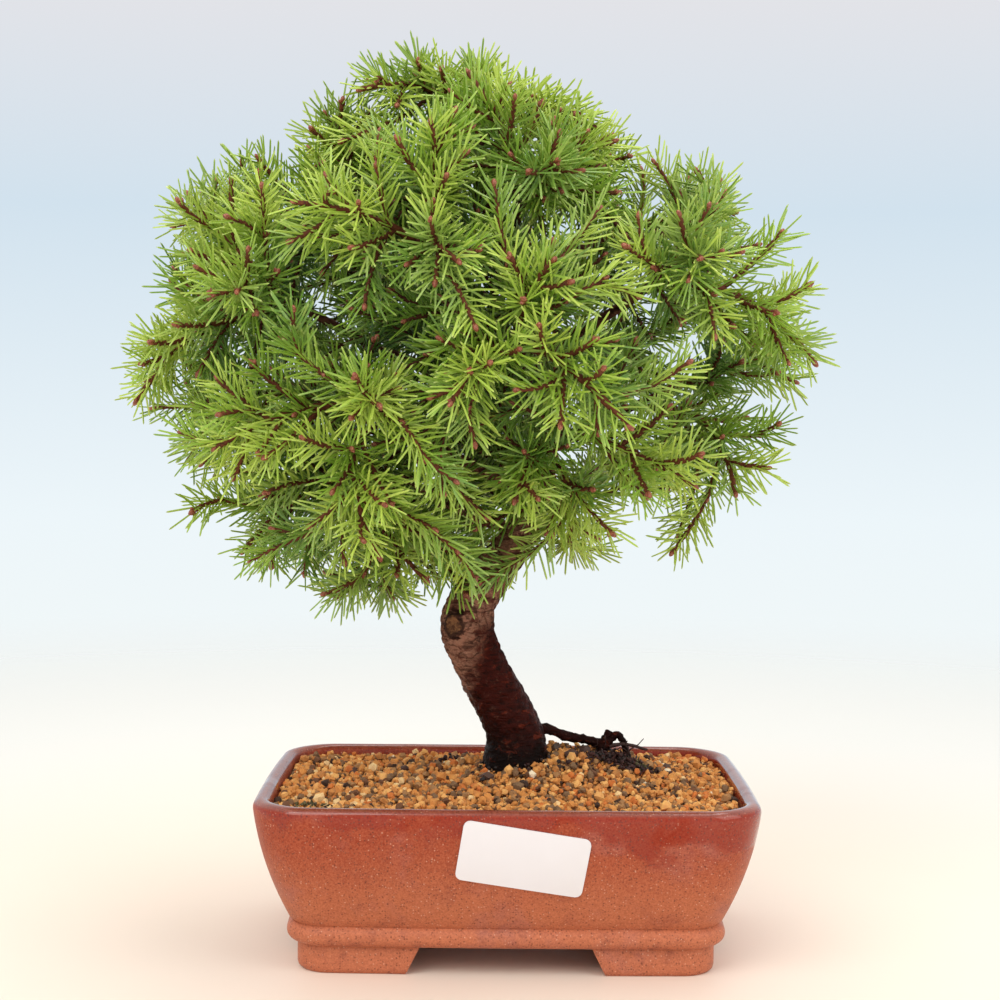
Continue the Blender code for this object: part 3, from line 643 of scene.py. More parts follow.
def spray_plan(index, stem, direction):
    """A spray's stub, and its axis and side shoots, from the branch's end stem."""
    draw = random.Random(SPRAY_SEED + index)
    start, heading = stem
    reach = crown_reach(direction) - TWIG_PAST
    tip = CROWN_CENTRE + direction * reach * draw.uniform(0.97, 1.01)
    inside = start - heading * BRANCH_END
    leaving = ((tip - start).normalized() * STUB_PULL + heading).normalized()
    stub = start + leaving * STUB_LENGTH
    leaving = (stub - inside).normalized()
    base = stub + leaving * CLEAR
    control = base + leaving * (tip - base).length * SPRAY_STRAIGHT
    axis = bow(base, control, tip, TWIG_BASE, TWIG_TIP, 3)
    return {"stub": (inside, stub), "axis": (base, control, tip), "shoots": side_shoots(axis, draw)}


def branch_plan():
    """Every side branch's path, and the plan of every spray."""
    paths, sprays = [], []
    for i in range(BRANCHES):
        rise = LOWEST + (HIGHEST - LOWEST) * i / (BRANCHES - 1)
        azimuth = FIRST_AZIMUTH + i * GOLDEN_ANGLE
        level = math.sqrt(1 - rise * rise)
        direction = Vector((level * math.cos(azimuth), level * math.sin(azimuth), rise))
        fork = CROWN_CENTRE + direction * crown_reach(direction) * FORK_AT
        outwards = (fork - trunk_at(fork.z)).length
        root = trunk_at(min(max(fork.z - BRANCH_RISE * outwards, BRANCH_FROM), BRANCH_TO))
        control = root.lerp(fork, 0.5) - UP * BRANCH_SAG * outwards
        paths.append(bow(root, control, fork, BRANCH_BASE, BRANCH_END, 16))
        stem = (fork, (fork - control).normalized())
        for towards in fork_directions(direction, FORK_SPRAYS, FORK_SPREAD, i * FORK_TURN):
            sprays.append(spray_plan(len(sprays), stem, towards))
    top = POT_CENTRE + Vector(TRUNK[-1][:3]) * MM
    tops = [UP] + fork_directions(UP, LEADER_SPRAYS - 1, LEADER_SPREAD, LEADER_TURN)
    for towards in tops:
        sprays.append(spray_plan(len(sprays), (top, UP), towards))
    return paths, sprays


# Pot

BELT_TOP = WALL_FOOT + 1.3 * MM  # where the wall's outline leaves the belt
LIP_STEPS = 12
INNER_LOW = 22 * MM  # height down to which the inner wall follows the outer one
INNER_FOOT = 20 * MM  # height whose inset the inner wall keeps where it meets the floor
INNER_TOE = ((1.25, 18 * MM), (1.6, POT_FLOOR))  # distance in walls, and height, down to the floor
FOOT_PROFILE = ((1.2, 0), (0.3, 1.0), (0, 2.2), (0, 8.4), (0.5, 10.6), (2, 12))  # inset and height in mm
PAST = 2 * MM  # how far a cutter reaches past what it cuts
THROUGH = 100 * MM  # half the length of a cutter that runs under the whole pot


def glaze(settings):
    """Satin red-brown glaze with fine specks, running glossy and deep under the rim."""
    made = Finish("glaze_red_brown")
    height = made.axis(made.place, "Z")
    broad = made.noise(28, detail=4)
    drift = made.noise(55, vector=made.stretched((1, 1, 2.2)))
    fine = made.noise(900, detail=2)
    across = made.axis(made.place, "X")
    edge = height + across * 0.10 + (broad - 0.5) * 0.040 + (drift - 0.5) * 0.020
    run = made.step(edge, 52.5 * MM, 58.5 * MM)
    wet = made.step(made.noise(30, detail=2, distortion=0.6), 0.36, 0.48)
    low = made.step(height, 21.5 * MM, 16.5 * MM)
    lip = made.step(height, 60.0 * MM, 61.2 * MM)
    upper = made.step(height + (broad - 0.5) * 0.010, 22 * MM, 56 * MM)
    clay = made.mix(upper, settings.clay, rgb(150, 58, 34))
    clay = made.mix(made.step(drift, 0.45, 0.75) * 0.25, clay, rgb(150, 70, 48))
    clay = made.mix(low, clay, settings.pale)
    clay = made.mix(run * 0.95, clay, settings.deep)
    violet = made.step(made.noise(110, detail=5, roughness=0.7), 0.50, 0.70)
    clay = made.mix(violet * (0.30 + low * 0.2 - run * 0.2), clay, settings.violet)
    haze = made.step(made.noise(46, detail=4, roughness=0.6), 0.50, 0.72)
    clay = made.mix(haze * (0.36 - run * 0.30), clay, rgb(150, 104, 104))
    clay = made.mix(lip * 0.8, clay, made.mix(made.noise(300), rgb(96, 40, 34), rgb(150, 84, 70)))
    speck = made.cells(1050)
    chance = made.axis(made.cells(1050, "Color"), "X")
    dark = made.step(speck, 0.42, 0.20) * made.step(chance, 0.54, 0.60)
    bright = made.step(speck, 0.34, 0.16) * made.step(chance, 0.16, 0.13)
    chance = made.axis(made.cells(430, "Color"), "Y")
    blot = made.step(made.cells(430), 0.20, 0.12) * made.step(chance, 0.86, 0.88)
    dark = (dark + blot).clamped()
    clay = made.mix(dark * 0.62, clay, rgb(72, 38, 36))
    clay = made.mix(bright * (0.55 - run * 0.3), clay, rgb(222, 182, 156))
    grit = made.step(made.noise(1500, roughness=0.7), 0.34, 0.66)
    clay = made.mix(0.20 - run * 0.10, clay, made.mix(grit, rgb(92, 34, 20), rgb(226, 142, 102)))
    rough = 0.44 - run * wet * 0.34 - lip * 0.26 + (fine - 0.5) * 0.12
    coat = run * wet * 0.4 + lip * 0.5
    made.feed(base_color=clay, roughness=rough.clamped(), coat_weight=coat.clamped())
    made.feed(coat_roughness=0.06, specular_ior_level=0.16)
    made.bump(fine * 0.5 + made.noise(240) + dark * -0.8, 0.12 * MM, 0.5)
    return made.material


def pot_profile():
    """Inset and height up the outside over belt and wall, round the lip and down the inside."""
    profile = []
    for a in map(math.radians, range(-90, 61, 10)):
        profile.append((BELT_INSET - BELT_RADIUS * math.cos(a), BELT_HEIGHT + BELT_RADIUS * math.sin(a)))
    profile += [(wall_inset(z), z) for z in np.linspace(BELT_TOP, LIP_EDGE, 16)]
    middle = WALL / 2
    rise = POT_HEIGHT - LIP_EDGE
    for i in range(1, LIP_STEPS):
        a = math.pi * i / LIP_STEPS
        profile.append((middle - middle * math.cos(a), LIP_EDGE + rise * math.sin(a) ** 0.8))
    profile += [(wall_inset(z) + WALL, z) for z in np.linspace(LIP_EDGE, INNER_LOW, 8)]
    profile += [(wall_inset(INNER_FOOT) + walls * WALL, z) for walls, z in INNER_TOE]
    return profile


def cutter(bm):
    """A hidden object that a Boolean uses up."""
    obj = bpy.data.objects.new("cutter", mesh_of(bm, "cutter"))
    bpy.context.scene.collection.objects.link(obj)
    return obj


def apply_modifiers(obj):
    """Makes what obj's modifiers show its own mesh."""
    graph = bpy.context.evaluated_depsgraph_get()
    mesh = bpy.data.meshes.new_from_object(obj.evaluated_get(graph))
    obj.modifiers.clear()
    obj.data = mesh
    return mesh


def boolean(obj, other, operation):
    """Cuts other out of obj or joins it on, and uses it up."""
    modifier = obj.modifiers.new("boolean", "BOOLEAN")
    modifier.operation, modifier.object, modifier.solver = operation, other, "EXACT"
    apply_modifiers(obj)
    bpy.data.objects.remove(other)


def foot_gap(half_top, half_bottom, along_y):
    """The space between two feet, run right through under the pot."""
    bm = bmesh.new()
    bmesh.ops.create_cube(bm, size=2)
    slope = (half_top - half_bottom) / UNDERSIDE
    for vert in bm.verts:
        height = UNDERSIDE if vert.co.z > 0 else -PAST
        across = vert.co.x * (half_bottom + slope * height)
        along = vert.co.y * THROUGH
        vert.co = Vector((across, along, height) if along_y else (along, across, height)) + POT_CENTRE
    return cutter(bm)


def drain_hole(side):
    """What is drilled out of the pot's floor for the drain hole at one side, -1 or 1."""
    bm = bmesh.new()
    bmesh.ops.create_cone(bm, cap_ends=True, segments=40, radius1=DRAIN_RADIUS, radius2=DRAIN_RADIUS,
                          depth=20 * MM)
    middle = POT_CENTRE + Vector((side * DRAIN_SPACING, 0, POT_FLOOR))
    bmesh.ops.translate(bm, vec=middle, verts=bm.verts)
    return cutter(bm)


def pot_feet(steps):
    """The four feet: a ring under the pot, hollowed out and parted by two gaps."""
    ring, room = blank(), blank()
    outline = [(FOOT_INSET + inset * MM, height * MM) for inset, height in FOOT_PROFILE]
    loft(ring, [pot_ring(inset, height, steps) for inset, height in outline])
    feet = cutter(ring)
    inner = FOOT_INSET + FOOT_THICKNESS
    loft(room, [pot_ring(inner, height, steps) for height in (-PAST, UNDERSIDE)])
    boolean(feet, cutter(room), "DIFFERENCE")
    boolean(feet, foot_gap(FOOT_GAP_TOP, FOOT_GAP_BOTTOM, True), "DIFFERENCE")
    boolean(feet, foot_gap(SIDE_GAP_TOP, SIDE_GAP_BOTTOM, False), "DIFFERENCE")
    return feet


class BONSAI_OT_pot(bpy.types.Operator):
    """Add the glazed pot with its belt, feet and drain holes"""

    bl_idname = "bonsai.pot"
    bl_label = "Pot"

    def execute(self, context):
        settings = context.scene.bonsai_pot
        steps = settings.corner_steps
        feet = pot_feet(steps)
        shell = blank()
        loft(shell, [pot_ring(inset, height, steps) for inset, height in pot_profile()])
        pot = cutter(shell)
        boolean(pot, feet, "UNION")
        for side in (-1, 1):
            boolean(pot, drain_hole(side), "DIFFERENCE")
        bevel = pot.modifiers.new("bevel", "BEVEL")
        bevel.width, bevel.segments, bevel.limit_method = settings.foot_bevel, 3, "ANGLE"
        bevel.angle_limit = math.radians(40)
        mesh = apply_modifiers(pot)
        bpy.data.objects.remove(pot)
        mesh.shade_smooth()
        mesh.set_sharp_from_angle(angle=math.radians(50))
        piece("pot_glazed", mesh, "glaze", glaze(settings), replaces=["pot"])
        return {"FINISHED"}


def screen_plastic():
    """Black moulded plastic with a faint grain."""
    made = Finish("screen_plastic")
    grain = made.noise(1500, detail=2)
    made.feed(base_color=made.mix(grain, rgb(24, 24, 25), rgb(44, 44, 46)), roughness=0.5 + grain * 0.15)
    made.bump(grain, 0.05 * MM, 0.4)
    return made.material


class BONSAI_OT_screens(bpy.types.Operator):
    """Give the two drain screens their plastic"""

    bl_idname = "bonsai.screens"
    bl_label = "Drain screens"

    def execute(self, context):
        plastic = screen_plastic()
        for side in ("left", "right"):
            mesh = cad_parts[f"screen_{side}"].data
            mesh.materials.clear()
            mesh.materials.append(plastic)
        return {"FINISHED"}


# Soil

BED_STEPS = (120, 84)  # faces along and across the bed
BED_SUNK = 0.6 * MM  # how far the bed lies under the soil's level, so that grains cover it
BED_ROUGH = 0.9 * MM
BED_LEVELS = ((38 * MM, 0), (POT_FLOOR + CLEAR, 0.6 * WALL))  # height, and distance for the floor's fillet
GRAINS_INSET = 1.2 * MM  # of the outermost grains' middles from the pot's inner wall
GRAIN_LEAST, GRAIN_MOST = 0.78, 1.2  # stretch of a grain along each of its axes
PALE_CORNER, PALE_SPREAD = (-70 * MM, -46 * MM), (22 * MM, 16 * MM)  # where white pumice gathers
PALE_TINTS = (0.02, 0.12, 0.98, 0.996, 0.996)
ALL_ROUND = 6.28  # a full turn, near enough


def grain_finish(settings):
    """Loose grains, each of its own kind by its tint: fired clay, pumice, grey stone and charred bark."""
    made = Finish("grit_grains")
    tint = made.kept("tint")
    mottle = made.noise(700, detail=4, roughness=0.65)
    kinds = [(0.0, rgb(58, 42, 32)), (0.03, rgb(104, 74, 52)), (0.08, settings.grey),
             (0.20, rgb(158, 126, 88)), (0.30, rgb(182, 132, 78)), (0.40, rgb(204, 152, 88)),
             (0.54, settings.ochre), (0.74, rgb(224, 182, 118)), (0.90, rgb(196, 122, 62)),
             (0.97, rgb(226, 202, 164)), (0.993, rgb(236, 226, 208))]
    colour = made.ramp(tint, kinds, "CONSTANT")
    colour = made.mix(0.55, colour, made.mix(mottle, rgb(70, 44, 26), rgb(250, 214, 160)), "OVERLAY")
    made.feed(base_color=colour, roughness=(0.78 + mottle * 0.25).clamped())
    made.bump(mottle + made.noise(2600, detail=2) * 0.4, 0.18 * MM, 0.6)
    return made.material


def bed_finish():
    """The finer soil seen between the grains."""
    made = Finish("soil_bed")
    mottle = made.noise(420, detail=5, roughness=0.7)
    colour = made.mix(mottle, rgb(66, 42, 26), rgb(168, 112, 60))
    made.feed(base_color=colour, roughness=0.85 + mottle * 0.15)
    made.bump(mottle, 0.8 * MM, 0.9)
    return made.material


def grain_shapes(number, corners, draw):
    """Angular pebbles one unit across: hulls of points on a sphere."""
    shapes = []
    for _ in range(number):
        bm = bmesh.new()
        for i in range(corners):
            turn = i * GOLDEN_ANGLE + draw.uniform(-0.5, 0.5)
            bm.verts.new(on_sphere(i, corners, turn) * 0.5 * draw.uniform(0.78, 1.08))
        bmesh.ops.convex_hull(bm, input=bm.verts)
        bmesh.ops.delete(bm, geom=[vert for vert in bm.verts if not vert.link_faces], context="VERTS")
        shapes.append(Shape(bm, smooth=False))
    return shapes


def placed(point, size, draw):
    """A matrix that puts a shape at point, turned at random and stretched by size."""
    spin = Matrix.Identity(4)
    for axis in "ZXY":
        spin @= Matrix.Rotation(draw.uniform(0, ALL_ROUND), 4, axis)
    return Matrix.Translation(point) @ spin @ Matrix.Diagonal((*size, 1))


def soil_bed():
    """The soil's body: an uneven top, and sides that follow the pot's inner wall down to its floor."""
    inset = wall_inset(SOIL_LEVEL) + WALL + CLEAR
    bed = bmesh.new()
    bmesh.ops.create_grid(bed, x_segments=BED_STEPS[0], y_segments=BED_STEPS[1], size=1)
    for vert in bed.verts:
        flat = plan_point(vert.co.x, vert.co.y, inset)
        level = soil_height(flat.x - POT_CENTRE.x, flat.y - POT_CENTRE.y)
        vert.co = flat + UP * (level - BED_SUNK + BED_ROUGH * noise.noise(flat * 330))
    rim = [edge for edge in bed.edges if edge.is_boundary]
    for height, fillet in BED_LEVELS:
        made = bmesh.ops.extrude_edge_only(bed, edges=rim)["geom"]
        rim = [item for item in made if isinstance(item, bmesh.types.BMEdge)]
        drawn = wall_inset(max(height, INNER_FOOT)) + WALL + SOIL_GAP + fillet
        wide = (POT_HALF_WIDTH - drawn) / (POT_HALF_WIDTH - inset)
        deep = (POT_HALF_DEPTH - drawn) / (POT_HALF_DEPTH - inset)
        inset = drawn
        for vert in {vert for edge in rim for vert in edge.verts}:
            flat = vert.co - POT_CENTRE
            vert.co = Vector((flat.x * wide, flat.y * deep, height)) + POT_CENTRE
    bmesh.ops.contextual_create(bed, geom=rim)
    return mesh_of(bed, "soil_bed")


def loose_grains(settings, draw):
    """Grains strewn evenly over the soil, with more white pumice in the near left corner."""
    shapes = grain_shapes(7, 12, draw)
    lists = [([], []) for _ in shapes]
    inset = wall_inset(SOIL_LEVEL) + WALL + GRAINS_INSET
    across = round(math.sqrt(settings.grains * POT_HALF_WIDTH / POT_HALF_DEPTH))
    deep = round(settings.grains / across)
    for i in range(across * deep):
        u = ((i % across) + draw.random()) / across * 2 - 1
        v = ((i // across) + draw.random()) / deep * 2 - 1
        flat = plan_point(u, v, inset)
        x, y = flat.x - POT_CENTRE.x, flat.y - POT_CENTRE.y
        size = settings.grain_size * min(2.0, draw.lognormvariate(-0.03, 0.33))
        tint = draw.random()
        off = ((at - middle) / spread for at, middle, spread in zip((x, y), PALE_CORNER, PALE_SPREAD))
        if draw.random() < 0.45 * math.exp(-sum(share**2 for share in off)):
            tint = draw.choice(PALE_TINTS)
        stretch = [size * draw.uniform(GRAIN_LEAST, GRAIN_MOST) for _ in range(3)]
        lift = draw.uniform(-0.35, 0.35) * size + draw.choice((0, 0, 0.35)) * size
        places, tints = lists[i % len(shapes)]
        places.append(placed(flat + UP * (soil_height(x, y) + lift), stretch, draw))
        tints.append(tint)
    grains = Copies()
    for shape, (places, tints) in zip(shapes, lists):
        grains.add(shape, places, tints)
    return grains.mesh("soil_grains")


class BONSAI_OT_soil(bpy.types.Operator):
    """Add the soil bed and the loose grains on it"""

    bl_idname = "bonsai.soil"
    bl_label = "Soil"

    def execute(self, context):
        settings = context.scene.bonsai_soil
        piece("soil_bed", soil_bed(), "grit", bed_finish(), replaces=["soil"])
        grains = loose_grains(settings, random.Random(GRAIN_SEED))
        piece("soil_grains", grains, "grit", grain_finish(settings))
        return {"FINISHED"}


# Litter on the soil. Places are in mm from the pot's centre.

# Clumps: middle, spread, height, number and least and greatest tint of the crumbs
CLUMPS = (
    ((43, 4), (14, 8), 5.0, 300, (0.0, 0.45)),
    ((49, 5), (8, 4), 3.5, 34, (0.8, 0.95)),
    ((-23, 32), (5, 3), 2.6, 20, (0.0, 0.35)),
    ((4, 3), (17, 12), 0.8, 70, (0.0, 0.2)),
    ((30, 14), (6, 3), 2.0, 8, (0.55, 0.75)),
    ((-70, -46), (8, 6), 1.2, 24, (0.75, 0.95)),
)
CRUMB_SIZES = ((1.0, 3.2), (0.8, 2.0), (0.5, 1.4))  # least and greatest width along each axis
CRUMB_LIFT = 1.8  # so that the crumbs lie on the grains
STONES = ((30, 11, 5.4), (24.5, 4, 5.6), (-7.5, -9, 5.2), (19, 13, 4.2), (-40, 22, 3.8), (62, 16, 4.0),
          (-60, 20, 3.6))  # x, y and width
ROOTLETS = 26
ROOTLET_STEPS = 7
DEAD_ROOT = ((38, 12.5, 70.5, 0.9), (44, 11.5, 72, 0.8), (49, 11, 71.4, 0.7),
             (54, 11, 69.9, 0.5))  # x, y, height and radius, as for the living roots


def litter_finish():
    """Damp dark bark crumbs, dead roots and moss."""
    made = Finish("dark_litter")
    mottle = made.noise(900, detail=4)
    kinds = [(0.0, rgb(26, 18, 15)), (0.45, rgb(76, 34, 24)), (0.7, rgb(92, 74, 62)),
             (0.85, rgb(70, 72, 30)), (1.0, rgb(120, 112, 70))]
    colour = made.ramp(made.kept("tint"), kinds)
    colour = made.mix(0.5, colour, made.mix(mottle, rgb(30, 20, 16), rgb(190, 160, 130)), "OVERLAY")
    made.feed(base_color=colour, roughness=0.5 + mottle * 0.4)
    made.bump(mottle, 0.2 * MM, 0.7)
    return made.material


def on_soil(x, y, lift):
    """A point over the soil, all in metres and from the pot's centre."""
    return POT_CENTRE + Vector((x, y, soil_height(x, y) + lift))


def add_crumbs(litter, shapes, draw):
    """Crumbs of bark and moss, clump by clump, heaped towards each clump's middle."""
    for (x, y), (wide, deep), height, number, (darkest, lightest) in CLUMPS:
        places, tints = [], []
        for _ in range(number):
            at = Vector((draw.gauss(x, wide / 2), draw.gauss(y, deep / 2))) * MM
            off = math.hypot((at.x / MM - x) / wide, (at.y / MM - y) / deep)
            lift = (CRUMB_LIFT + max(0.0, height * (1 - off) * draw.random())) * MM
            size = [draw.uniform(least, most) * MM for least, most in CRUMB_SIZES]
            places.append(placed(on_soil(at.x, at.y, lift), size, draw))
            tints.append(draw.uniform(darkest, lightest))
        litter.add(draw.choice(shapes), places, tints)


def add_stones(litter, shape, draw):
    """Single stones larger than the grains."""
    places = []
    for x, y, size in STONES:
        widths = [size * draw.uniform(0.85, 1.3) * MM for _ in range(3)]
        places.append(placed(on_soil(x * MM, y * MM, 0.25 * size * MM), widths, draw))
    litter.add(shape, places, [draw.uniform(0.5, 0.72) for _ in places])


def rootlet(draw, start, heading, length, radius):
    """Points and radii along a crooked dead rootlet."""
    path, point = [], start.copy()
    for i in range(ROOTLET_STEPS + 1):
        path.append((point.copy(), radius * (1 - 0.6 * i / ROOTLET_STEPS)))
        heading = (heading + Vector([draw.uniform(-0.6, 0.6) for _ in range(3)])).normalized()
        point += heading * length / ROOTLET_STEPS
    return path


def tube_rings(path, sides, rough=0.0, seed=0):
    """Rings of points round a path, with their radii roughened."""
    rings = []
    for i, ((point, along, across), (_, radius)) in enumerate(zip(frames(path), path)):
        ring = []
        for k in range(sides):
            spoke = Matrix.Rotation(2 * math.pi * k / sides, 3, along) @ across
            uneven = 1 + rough * noise.noise(Vector((k * 1.7 + seed, i * 0.9, seed * 0.37)))
            ring.append(point + spoke * radius * uneven)
        rings.append(ring)
    return rings


def add_rootlets(litter, draw):
    """A tangle of dead rootlets and one longer dead root."""
    strands = blank()
    for i in range(ROOTLETS):
        x, y = draw.gauss(44, 6), draw.gauss(8, 3)
        start = on_soil(x * MM, y * MM, draw.uniform(0, 3) * MM)
        heading = [draw.uniform(low, high) for low, high in ((-1, 1), (-1, 1), (-0.1, 0.6))]
        length, radius = draw.uniform(5, 13) * MM, draw.uniform(0.25, 0.6) * MM
        path = rootlet(draw, start, Vector(heading).normalized(), length, radius)
        loft(strands, tube_rings(path, 5, 0.3, i))
    loft(strands, tube_rings(smooth_path(DEAD_ROOT, 12), 6, 0.4, 5))
    litter.add(Shape(strands), [Matrix.Identity(4)], [0.2])


class BONSAI_OT_litter(bpy.types.Operator):
    """Add the dark crumbs, dead rootlets and small stones on the soil"""

    bl_idname = "bonsai.litter"
    bl_label = "Litter"

    def execute(self, context):
        draw = random.Random(LITTER_SEED)
        shapes = grain_shapes(4, 14, draw)
        litter = Copies()
        add_crumbs(litter, shapes, draw)
        add_stones(litter, shapes[0], draw)
        add_rootlets(litter, draw)
        piece("soil_litter", litter.mesh("soil_litter"), "bark", litter_finish())
        return {"FINISHED"}


# Tree

FOOT_SWELL, FOOT_LOBES = 0.9 * MM, 5  # where the roots leave the trunk
FOOT_LEVEL, FOOT_REACH = 54 * MM, 22 * MM  # height from which the swelling fades, and over how much
DENT, WART = 0.75 * MM, 0.28 * MM
KNOT = POT_CENTRE + Vector((-20.5, -6.3, 119.5)) * MM  # middle of the branch scar
KNOT_TURN = math.radians(240)  # its direction round the trunk from +X, seen from above
KNOT_HALF_WIDTH, KNOT_HALF_HEIGHT = 2.9 * MM, 3.7 * MM
KNOT_RIM, KNOT_PIT = 1.0 * MM, 0.5 * MM
TRUNK_STEPS, TRUNK_BURIED = 290, 18  # rings, and how many at the buried end are left out
STUB_BASE, STUB_TAPER = 1.5, 0.3  # radius in mm of the stub that carries a spray


def bark(settings):
    """Bark that goes from near black at the soil through dark red to pinkish tan above the bend."""
    made = Finish("spruce_bark")
    height = made.axis(made.place, "Z")
    across = made.axis(made.place, "X")
    patch = made.noise(70, detail=5, roughness=0.65)
    scales, wrinkles = made.stretched((190, 190, 330)), made.stretched((150, 150, 640))
    scaly = made.noise(1.0, detail=4, roughness=0.65, distortion=0.4, vector=scales)
    flake = made.noise(420, detail=4, roughness=0.7)
    wrinkle = made.noise(1.0, detail=4, roughness=0.6, distortion=0.8, vector=wrinkles)
    bend = made.node("Math", {"operation": "MINIMUM"}, {0: height, 1: 119 * MM})
    edge = across - 14.1 * MM + (bend - 77 * MM) * 0.42
    level = height + (patch - 0.5) * 0.036
    base = made.mix(made.step(level, 68 * MM, 90 * MM), settings.dark, settings.red)
    bare = made.step(level - edge * 1.7, 101 * MM, 120 * MM)
    tan = made.mix(made.step(scaly, 0.36, 0.54), rgb(92, 52, 40), settings.tan)
    base = made.mix(bare * 0.9, base, tan)
    base = made.mix(made.step(height, 165 * MM, 200 * MM) * 0.8, base, rgb(78, 46, 34))
    base = made.mix(made.step(scaly, 0.56, 0.68) * (0.34 - bare * 0.2), base, rgb(134, 54, 32))
    base = made.mix(made.step(wrinkle, 0.50, 0.38) * 0.6, base, rgb(26, 11, 8))
    base = made.mix(made.step(flake, 0.60, 0.72) * (0.10 + bare * 0.3), base, rgb(190, 146, 120))
    base = made.mix(made.step(flake, 0.46, 0.34) * 0.7, base, rgb(14, 7, 5))
    knot = made.node("VectorMath", {"operation": "DISTANCE"}, {0: made.place, 1: KNOT}, "Value")
    arcs = made.node("Math", {"operation": "SINE"}, {0: (knot + (patch - 0.5) * 0.014) * 1500})
    arcs = made.step(arcs, 0.72, 0.93) * made.step(knot, 24 * MM, 14 * MM) * made.step(scaly, 0.42, 0.56)
    base = made.mix(arcs * 0.6, base, rgb(40, 18, 12))
    knot = knot + (scaly - 0.5) * 0.007
    base = made.mix(made.step(knot, 6.0 * MM, 4.6 * MM) * 0.85, base, rgb(30, 14, 10))
    wood = made.mix(made.step(flake, 0.42, 0.62), rgb(88, 58, 42), rgb(142, 98, 66))
    base = made.mix(made.step(knot, 3.8 * MM, 2.6 * MM) * 0.9, base, wood)
    damp = made.step(level, 112 * MM, 90 * MM)
    made.feed(base_color=base, roughness=(0.80 - damp * 0.42 + (flake - 0.5) * 0.5).clamped())
    made.feed(specular_ior_level=0.06)
    made.bump(wrinkle * 1.2 + flake + scaly * 1.2, 0.8 * MM, 1.0)
    return made.material


def squashed(spot, across, along):
    """A spot scaled for a pattern that is finer along the trunk than across it."""
    return Vector((spot.x * across, spot.y * across, spot.z * along))


def bark_relief(centre, spot, turn, radius, flake_depth):
    """How far the bark stands out at a spot: lobed foot, dents, warts, flakes and the branch scar."""
    low = max(0.0, 1 - (centre.z - FOOT_LEVEL) / FOOT_REACH)
    lobes = 1 + math.sin(FOOT_LOBES * turn + 0.8) + 2 * noise.noise(spot * 190)
    out = FOOT_SWELL * low * low * lobes
    out += DENT * noise.noise(spot * 75)
    out += WART * noise.noise(squashed(spot, 260, 420))
    cells = noise.voronoi(squashed(spot, 210, 300))[0]
    edge = min(1.0, (cells[1] - cells[0]) * 3)
    out += flake_depth * (edge - 0.6) * min(1.0, radius / (8 * MM))
    aside = (turn - KNOT_TURN + math.pi) % (2 * math.pi) - math.pi
    off = math.hypot(aside * radius / KNOT_HALF_WIDTH, (spot.z - KNOT.z) / KNOT_HALF_HEIGHT)
    out += KNOT_RIM * math.exp(-((off - 1) / 0.32) ** 2) - KNOT_PIT * math.exp(-(off / 0.6) ** 2)
    return out


def trunk_rings(settings):
    """The trunk's rings from just under the soil's level to its tip, each with its first point to +X."""
    path = smooth_path(TRUNK, TRUNK_STEPS)[TRUNK_BURIED:]
    rings = []
    for (centre, along, _), (_, radius) in zip(frames(path), path):
        side = Vector((1, 0, 0))
        side = (side - along * side.dot(along)).normalized()
        ring = []
        for k in range(settings.sides):
            turn = 2 * math.pi * k / settings.sides
            spoke = Matrix.Rotation(turn, 3, along) @ side
            spot = centre + spoke * radius
            ring.append(spot + spoke * bark_relief(centre, spot, turn, radius, settings.flake_depth))
        rings.append(ring)
    return rings


class BONSAI_OT_tree(bpy.types.Operator):
    """Add the trunk, its surface roots and the side branches"""

    bl_idname = "bonsai.tree"
    bl_label = "Trunk and branches"

    def execute(self, context):
        settings = context.scene.bonsai_tree
        paths, sprays = branch_plan()
        wood = blank()
        loft(wood, trunk_rings(settings))
        for i, root in enumerate(ROOTS):
            loft(wood, tube_rings(smooth_path(root, 30), 12, 0.45, i + 3))
        for i, path in enumerate(paths):
            loft(wood, tube_rings(path, 10, 0.35, i + 20))
        for i, spray in enumerate(sprays):
            inside, stub = spray["stub"]
            shares = (0, 0.25, 0.5, 0.75, 1)
            path = [(inside.lerp(stub, t), (STUB_BASE - STUB_TAPER * t) * MM) for t in shares]
            loft(wood, tube_rings(path, 8, 0.35, i + 60))
        piece("trunk_and_branches", mesh_of(wood, "wood"), "bark", bark(settings), replaces=["tree"])
        return {"FINISHED"}


# Foliage

NEEDLE_STATIONS = ((0.0, 0.8), (0.45, 1.0), (0.93, 0.9), (1.0, 0.01))  # share of the length, and width
NEEDLE_CORNERS = (0.4, 2.5, 4.6)  # turns of its three edges, in radians
NEEDLE_BENDS = (0.02, 0.10, 0.18)
LEAN, TIP_LEAN, LEAN_STRAY = 56, 17, 14  # degrees from the twig, less at its tip, and at random
TIPWARD = 5 * MM  # stretch behind a twig's tip where its needles close up
NEEDLE_RISE = 0.08
TIP_SHORTER = 0.12
BARER = 2.2  # how many times wider the needles stand than at the tip, beyond once, where a twig is oldest
TRIES, SHORTEN = 5, 0.88  # how a needle that would leave the solids' box is shortened
BUD_LEAST, BUD_MOST = 2.5 * MM, 3.4 * MM
SIDE_BUDS = (0, 0, 1, 1, 2)
LEAST_AGREE, LEAST_OUTER = 0.15, 3 * MM  # below these a shoot would turn back, or grow inwards
TURNED_BACK = 0.05  # metres that such a shoot seems longer
DEAREST = 0.075  # a shoot that seems longer than this isn't grown


